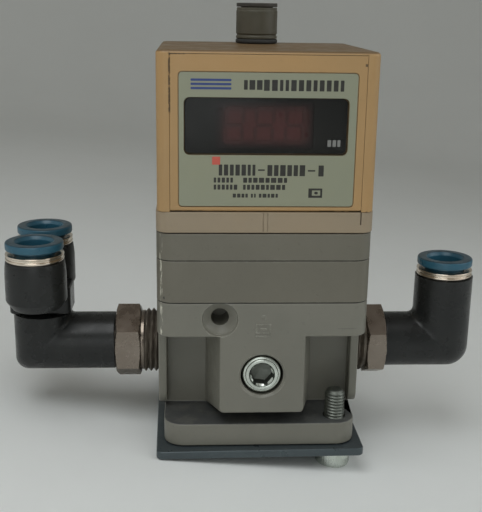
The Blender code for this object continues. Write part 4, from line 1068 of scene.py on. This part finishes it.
def make_connector():
    x, y, z = extent("signal_connector")
    centre = (middle(x), middle(y))
    outer = half(x)
    ring = SHOULDER_Z + 0.9     # middle of the turned groove
    collar = [(CONNECTOR_BORE, z[1]), (outer - 0.12, z[1]), (outer - 0.12, z[1] - 0.7), (outer, z[1] - 0.9),
              (outer, ring + 0.3), (outer - 0.25, ring + 0.1), (outer - 0.25, ring - 0.1),
              (outer, ring - 0.3), (outer, SHOULDER_Z), (STEM[1], SHOULDER_Z), (STEM[1], z[0]), (STEM[0], z[0]),
              (STEM[0], BORE_FLOOR_Z), (CONNECTOR_BORE, BORE_FLOOR_Z)]
    shell = piece_from("signal_connector_fine", moved(turned(soften(collar, 0.15)), *centre))
    settle(shell, LOOKS["olive"], "root", "olive_connector", "signal_connector")

    sx, _, sz = extent("connector_seal")
    ring = [(4.5, sz[0]), (half(sx), sz[0]), (half(sx), sz[1]), (4.5, sz[1])]
    seal = piece_from("connector_seal_fine", moved(turned(soften(ring, 0.4)), *centre))
    settle(seal, LOOKS["rubber"], "root", "black_rubber", "connector_seal")

    ix, _, iz = extent("connector_insert")
    rim = half(ix)
    inner, wall = 3.5, 4.1
    profile = [(inner, iz[1]), (rim, iz[1]), (rim, INSERT_RIM_Z), (wall, INSERT_RIM_Z), (wall, iz[0]),
               (0, iz[0]), (0, INSERT_FLOOR_Z), (inner, INSERT_FLOOR_Z)]
    insert = piece_from("connector_insert_fine", moved(turned(soften(profile, 0.15)), *centre))
    for number in range(PINS):
        px, py, _ = extent(f"connector_pin_{number + 1}")
        cut(insert, moved(rod(PIN_HOLE, 96.0, 99.5), middle(px), middle(py)), solver="MANIFOLD")
    keyway = box((centre[0] - 0.5, centre[0] + 0.5), (centre[1] - 3.9, centre[1] - 3.0), (99.5, 108.0))
    cut(insert, keyway, solver="MANIFOLD")
    settle(insert, LOOKS["dark_insert"], "root", "black_plastic", "connector_insert")


# ---- push-in fittings ----------------------------------------------------

THREAD_RADIUS = 8.3
THREAD_PITCH = 1.337
HEX_FLATS = 17.0
SPIGOT_RADIUS = 4.6
SEAL_GROOVE = 3.75
STUD_BORE = 2.8
SWIVEL_BORE = SPIGOT_RADIUS + 0.35
LEFT_HEX_TURN = math.radians(-1.2)
RIGHT_HEX_TURN = math.radians(4.6)
HEX_CHAMFER = 0.5
CHAMFER_SHARES = (0.0, 0.35, 0.7, 1.0)


def make_stud(node, hex_x, hex_turn):
    """Stud turned in one piece: thread, relief, chamfered hexagon and spigot."""
    x = extent(node)[0]
    side = -1 if hex_x[0] < 0 else 1
    tip, spigot_end = x[::side]
    inner, outer = hex_x[::side]
    hexagon = hex_radius(HEX_FLATS, hex_turn)
    flat = HEX_FLATS / 2 - 0.1
    corner = HEX_FLATS / math.sqrt(3)
    core = THREAD_RADIUS - 0.7
    relief = THREAD_RADIUS - 0.55

    stations = [(STUD_BORE, tip), (core - 0.5, tip), (core, tip + side * 1.0), (core, side * 23.6)]
    ends = sorted((side * 23.7, inner - side * 0.9))
    stations += thread_stations(THREAD_RADIUS, 0.85, THREAD_PITCH, *ends, 9)[::side]
    stations += [(relief, inner - side * 0.75), (relief, inner - side * 0.1), (flat, inner)]
    for face, way, shares in ((inner, side, CHAMFER_SHARES[1:]), (outer, -side, CHAMFER_SHARES[::-1])):
        for share in shares:
            limit = flat + (corner - flat) * share
            stations.append((limited(hexagon, limit), face + way * HEX_CHAMFER * share))
    groove_near = spigot_end - side * 3.4
    groove_far = spigot_end - side * 1.6
    stations += [(SPIGOT_RADIUS, outer), (SPIGOT_RADIUS, groove_near), (SEAL_GROOVE, groove_near),
                 (SEAL_GROOVE, groove_far), (SPIGOT_RADIUS, groove_far),
                 (SPIGOT_RADIUS, spigot_end - side * 0.3), (SPIGOT_RADIUS - 0.3, spigot_end),
                 (STUD_BORE, spigot_end)]
    stud = piece_from(f"{node}_fine", along_x(turned(stations, 120, hex_turn)))
    settle(stud, LOOKS["brass"], "root", "plated_brass", node)
    return stud


def elbow(axis_x, end_x, top_z, arm_radius, barrel_radius, corner, fillet):
    """A round arm along X that turns up into a round barrel, built in slices across Y."""
    slices, arc = 36, 10
    side = 1 if end_x > axis_x else -1
    reach = side * (end_x - axis_x)
    rings = []
    for step in range(slices + 1):
        angle = math.radians(-87 + 174 * step / slices)
        arm = arm_radius * math.cos(angle)
        barrel = barrel_radius * math.cos(angle)
        arm_y = arm_radius * math.sin(angle)
        barrel_y = barrel_radius * math.sin(angle)
        bend = min(corner, 0.8 * arm)
        blend = min(fillet, 0.8 * arm)
        edge = min(0.25, 0.3 * arm)
        outline = [(reach, arm_y, -arm + edge), (reach - 0.3, arm_y, -arm)]
        for turn in range(arc + 1):
            swing = math.pi / 2 * turn / arc
            outline.append((-barrel + bend - bend * math.sin(swing), arm_y + (barrel_y - arm_y) * turn / arc,
                            -arm + bend - bend * math.cos(swing)))
        outline.append((-barrel, barrel_y, top_z - PORT_Z))
        outline.append((barrel, barrel_y, top_z - PORT_Z))
        for turn in range(arc // 2 + 1):
            swing = math.pi / 2 * turn / (arc // 2)
            outline.append((barrel + blend - blend * math.cos(swing),
                            barrel_y + (arm_y - barrel_y) * 2 * turn / arc,
                            arm + blend - blend * math.sin(swing)))
        outline += [(reach - 0.3, arm_y, arm), (reach, arm_y, arm - edge)]
        rings.append([(axis_x + side * px, py, PORT_Z + pz) for px, py, pz in outline])
    return loft(rings)


def make_tube_port(prefix, release_body, ring_body):
    """Release collet and guide ring of one tube socket."""
    x, y, z = extent(f"{prefix}_collet")
    centre = (middle(x), middle(y))
    rim = half(x)
    top = z[1]
    profile = [(4.2, top - 0.9), (4.75, top - 0.12), (4.95, top), (rim - 0.45, top), (rim - 0.1, top - 0.15),
               (rim, top - 0.5), (rim, top - 1.75), (rim - 0.2, top - 2.0), (4.95, top - 2.0), (4.95, z[0]),
               (4.2, z[0])]
    collet = piece_from(f"{prefix}_collet_fine", moved(turned(soften(profile, 0.18)), *centre))
    settle(collet, LOOKS["blue"], release_body, "blue_plastic", f"{prefix}_collet")

    rx, _, rz = extent(f"{prefix}_ring")
    rim = half(rx)
    high = rz[1]
    low = high - 1.8
    profile = [(5.25, high), (rim - 0.5, high), (rim - 0.05, high - 0.1), (rim, high - 0.25),
               (rim - 0.02, high - 0.5), (rim - 0.32, high - 0.65), (rim - 0.32, high - 1.05),
               (rim - 0.02, high - 1.2), (rim, high - 1.45), (rim - 0.1, high - 1.7), (rim - 0.4, low),
               (5.9, low), (5.9, rz[0]), (5.25, rz[0])]
    ring = piece_from(f"{prefix}_ring_fine", moved(turned(soften(profile, 0.08)), *centre))
    settle(ring, LOOKS["ring"], ring_body, "plated_brass", f"{prefix}_ring")
    return centre, top


def tube_bore(centre, top, floor):
    """Stepped socket: a wide mouth for the collet and ring, then the seal's seat, then the tube's end."""
    profile = [(0, top), (6.2, top), (6.2, top - 8.3), (5.3, top - 8.3), (5.3, top - 10.2), (4.4, top - 10.2),
               (4.4, floor), (0, floor)]
    return moved(turned(profile), *centre)


def barrel_shape(centre, radius, low, high):
    """Slightly bulging socket body that steps in at its lower end."""
    profile = [(0, high), (radius - 0.55, high), (radius - 0.3, high - 0.25), (radius - 0.12, high - 1.6),
               (radius, high - 3.2), (radius, low + 2.5), (radius - 0.15, low + 2.1),
               (radius - 1.55, low + 0.2), (radius - 1.9, low), (0, low)]
    return moved(turned(profile), *centre)


def make_left_fitting():
    stud = make_stud("left_stud", (-36.2, -29.8), LEFT_HEX_TURN)
    second_look(stud, "thread", 0, -29.3, -13.0)
    x, _, z = extent("left_elbow_body")
    arm_radius = half((z[0], 2 * PORT_Z - z[0]))
    axis_x = x[0] + arm_radius
    lower = piece_from("left_elbow_fine", elbow(axis_x, x[1], z[1], arm_radius, arm_radius, 3.2, 0.9))
    cut(lower, along_x(rod(SWIVEL_BORE, -50.0, x[1] + 1.0, FINE)), along_x(rod(2.8, -56.5, -49.0)),
        moved(rod(3.6, PORT_Z, 30.0), axis_x), solver="MANIFOLD")
    settle(lower, LOOKS["black"], "left_elbow", "black_plastic", "left_elbow_body")

    bx, by, bz = extent("left_branch_block")
    block = piece_from("left_branch_fine", slab(bx, (-5.0, 5.0), (29.8, 36.7), 1.6, (0.5, 0.5)))
    ports = []
    for place in ("front", "rear"):
        ports.append(make_tube_port(f"left_{place}", f"left_{place}_release", "left_elbow"))
    for centre, top in ports:
        join(block, barrel_shape(centre, by[1] - abs(centre[1]), 33.0, bz[1]))
    join(block, moved(rod(3.3, bz[0], 31.0), axis_x))
    for centre, top in ports:
        cut(block, tube_bore(centre, top, 36.4))
        cut(block, moved(rod(2.4, 34.0, 38.0), centre[0], 0.8 * centre[1]))
    cut(block, along_y(rod(1.6, -8.0, 8.0), axis_x, 35.0), moved(rod(2.2, 22.0, 35.0), axis_x))
    settle(block, LOOKS["black"], "left_elbow", "black_plastic", "left_branch_block")


def make_right_fitting():
    stud = make_stud("right_stud", (28.6, 33.6), RIGHT_HEX_TURN)
    second_look(stud, "thread", 0, 13.0, 28.2)
    x, y, z = extent("right_elbow_body")
    barrel_radius = half(y)
    arm_radius = PORT_Z - z[0]
    axis_x = x[1] - barrel_radius
    centre, top = make_tube_port("right", "right_release", "right_elbow")
    body = piece_from("right_elbow_fine", elbow(axis_x, x[0], z[1], arm_radius, barrel_radius, 6.2, 1.6))
    cut(body, along_x(rod(SWIVEL_BORE, x[0] - 1.0, 43.5, FINE)), along_x(rod(2.4, 43.0, 50.5)),
        tube_bore(centre, top, 28.5), moved(rod(2.8, 20.5, 29.5), axis_x), solver="MANIFOLD")
    settle(body, LOOKS["black"], "right_elbow", "black_plastic", "right_elbow_body")


# ---- inner pieces --------------------------------------------------------

def make_spring():
    """Fine round-wire return spring of the supply poppet, which the opening poppet presses shorter; it is made
    at rest, with a mesh of its own.
    """
    x, _, z = extent("poppet_spring")
    wire = 0.4
    radius = half(x) - wire
    turns, per_turn = 5, 36
    low = z[0] + wire
    high = z[1] - wire
    rings = []
    for step in range(turns * per_turn + 1):
        share = step / (turns * per_turn)
        angle = 2 * math.pi * turns * share
        centre = Vector((radius * math.cos(angle), radius * math.sin(angle), low + (high - low) * share))
        outward = Vector((math.cos(angle), math.sin(angle), 0))
        ring = []
        for side in range(12):
            swing = 2 * math.pi * side / 12
            ring.append(centre + wire * (outward * math.cos(swing) + Vector((0, 0, 1)) * math.sin(swing)))
        rings.append(ring)
    spring = piece_from("poppet_spring_fine", loft(rings))
    settle(spring, LOOKS["zinc"], "root", "zinc_steel", "poppet_spring")
    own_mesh(spring)


KEPT_NODES = {
    "brass": ("valve_guide", "supply_poppet", "connector_nut", "connector_pin_1", "connector_pin_2",
              "connector_pin_3", "connector_pin_4"),
    "zinc": ("valve_rod", "diaphragm_plate", "tie_screw_1", "tie_screw_2", "tie_screw_3", "tie_screw_4",
             "supply_armature", "exhaust_armature"),
    "rubber": ("left_swivel_seal", "right_swivel_seal"),
    "coil": ("supply_solenoid", "exhaust_solenoid"),
    "board": ("display_board", "control_board"),
    "dark_insert": ("pressure_sensor", "board_header"),
}


def dress_kept_nodes():
    for look, names in KEPT_NODES.items():
        for name in names:
            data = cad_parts[name].data
            data.materials.clear()
            data.materials.append(LOOKS[look])


# ---- stage, light and camera ---------------------------------------------

def make_stage():
    """Pale floor that curves up into a round backdrop; it tilts to meet the plate and the screw head."""
    look = surface("pale_floor", (0.84, 0.86, 0.85), (0.80, 0.82, 0.81), 0.6, tint_scale=6.0, grain=0.05,
                   grain_scale=600.0)
    flat, bend, wall = 520.0, 260.0, 900.0
    profile = [(flat * share, 0.0) for share in (0.25, 0.6, 1.0)]
    for step in range(1, 13):
        swing = math.pi / 2 * step / 12
        profile.append((flat + bend * math.sin(swing), bend - bend * math.cos(swing)))
    profile.append((flat + bend, wall))
    shape = bmesh.new()
    steps = 96
    rings = []
    for radius, height in profile:
        rings.append([shape.verts.new((px, py, height)) for px, py in circle(radius, steps)])
    for lower, upper in zip(rings, rings[1:]):
        for i in range(steps):
            shape.faces.new((lower[i], lower[(i + 1) % steps], upper[(i + 1) % steps], upper[i]))
    shape.faces.new(rings[0])
    plate_x = extent("base_plate")[0][0]
    screw_x, _, screw_z = extent("plate_screw")
    slope = math.atan2(-screw_z[0], screw_x[1] - plate_x)
    bmesh.ops.rotate(shape, verts=shape.verts, matrix=Matrix.Rotation(slope, 3, "Y"))
    drop = math.tan(slope) * plate_x
    floor = piece_from("studio_floor", moved(shape, 0.0, 0.0, drop - 0.05))
    floor.data.shade_smooth()
    floor.data.materials.append(look)


# Soft lights: place, target, size, power and colour, in metres and watts.
LIGHTS = {
    "left_light": ((-0.38, -0.10, 0.25), (-0.03, -0.06, 0.0), 0.46, 0.16, (0.99, 0.985, 1.0)),
    "right_light": ((0.38, -0.12, 0.25), (0.02, -0.06, 0.0), 0.46, 0.62, (0.95, 0.99, 1.0)),
    "front_light": ((-0.05, -0.44, 0.13), (-0.02, -0.05, 0.0), 0.26, 0.16, (0.95, 0.99, 1.0)),
    "top_light": ((-0.10, -0.20, 0.44), (-0.07, -0.09, 0.0), 0.34, 0.86, (0.96, 0.99, 1.0)),
}
WORLD_COLOUR = (1.0, 0.90, 0.77, 1.0)
WORLD_STRENGTH = 0.15
# The camera that fits the photograph: place in millimetres, angles in degrees.
CAMERA_PLACE = (-17.315, -223.566, 106.028)
CAMERA_YAW, CAMERA_PITCH, CAMERA_ROLL = 3.40, 15.505, -0.913
CAMERA_LENS = 63.28


def make_light():
    scene = bpy.context.scene
    world = bpy.data.worlds.new("studio")
    world.use_nodes = True
    sky = world.node_tree.nodes["Background"]
    sky.inputs["Color"].default_value = WORLD_COLOUR
    sky.inputs["Strength"].default_value = WORLD_STRENGTH
    scene.world = world
    for name, (place, target, size, power, colour) in LIGHTS.items():
        light = bpy.data.lights.new(name, "AREA")
        light.shape = "DISK"
        light.size = size
        light.energy = power
        light.color = colour
        lamp = bpy.data.objects.new(name, light)
        lamp.location = place
        lamp.rotation_euler = (Vector(target) - Vector(place)).to_track_quat("-Z", "Y").to_euler()
        lamp.visible_camera = False
        scene.collection.objects.link(lamp)
    scene.view_settings.view_transform = "Standard"


def make_camera():
    """Camera a little above and left of the display, looking slightly down and to the right."""
    place = Vector(CAMERA_PLACE) * MM
    yaw, pitch, roll = (math.radians(angle) for angle in (CAMERA_YAW, CAMERA_PITCH, CAMERA_ROLL))
    forward = Vector((math.sin(yaw) * math.cos(pitch), math.cos(yaw) * math.cos(pitch), -math.sin(pitch)))
    level = Vector((math.cos(yaw), -math.sin(yaw), 0.0))
    down = forward.cross(level)
    right = math.cos(roll) * level + math.sin(roll) * down
    up = math.sin(roll) * level - math.cos(roll) * down
    data = bpy.data.cameras.new("camera")
    data.sensor_width = 36.0
    data.lens = CAMERA_LENS
    data.clip_start = 0.005
    camera = bpy.data.objects.new("camera", data)
    axes = Matrix((right, up, -forward)).transposed()
    camera.matrix_world = Matrix.Translation(place) @ axes.to_4x4()
    bpy.context.scene.collection.objects.link(camera)
    bpy.context.scene.camera = camera


make_camera()
make_stage()
make_light()
make_base_plate()
make_plate_screw()
make_gauge_plug()
make_main_body()
make_layers()
make_cover()
make_flap()
make_display()
make_connector()
make_left_fitting()
make_right_fitting()
make_spring()
dress_kept_nodes()
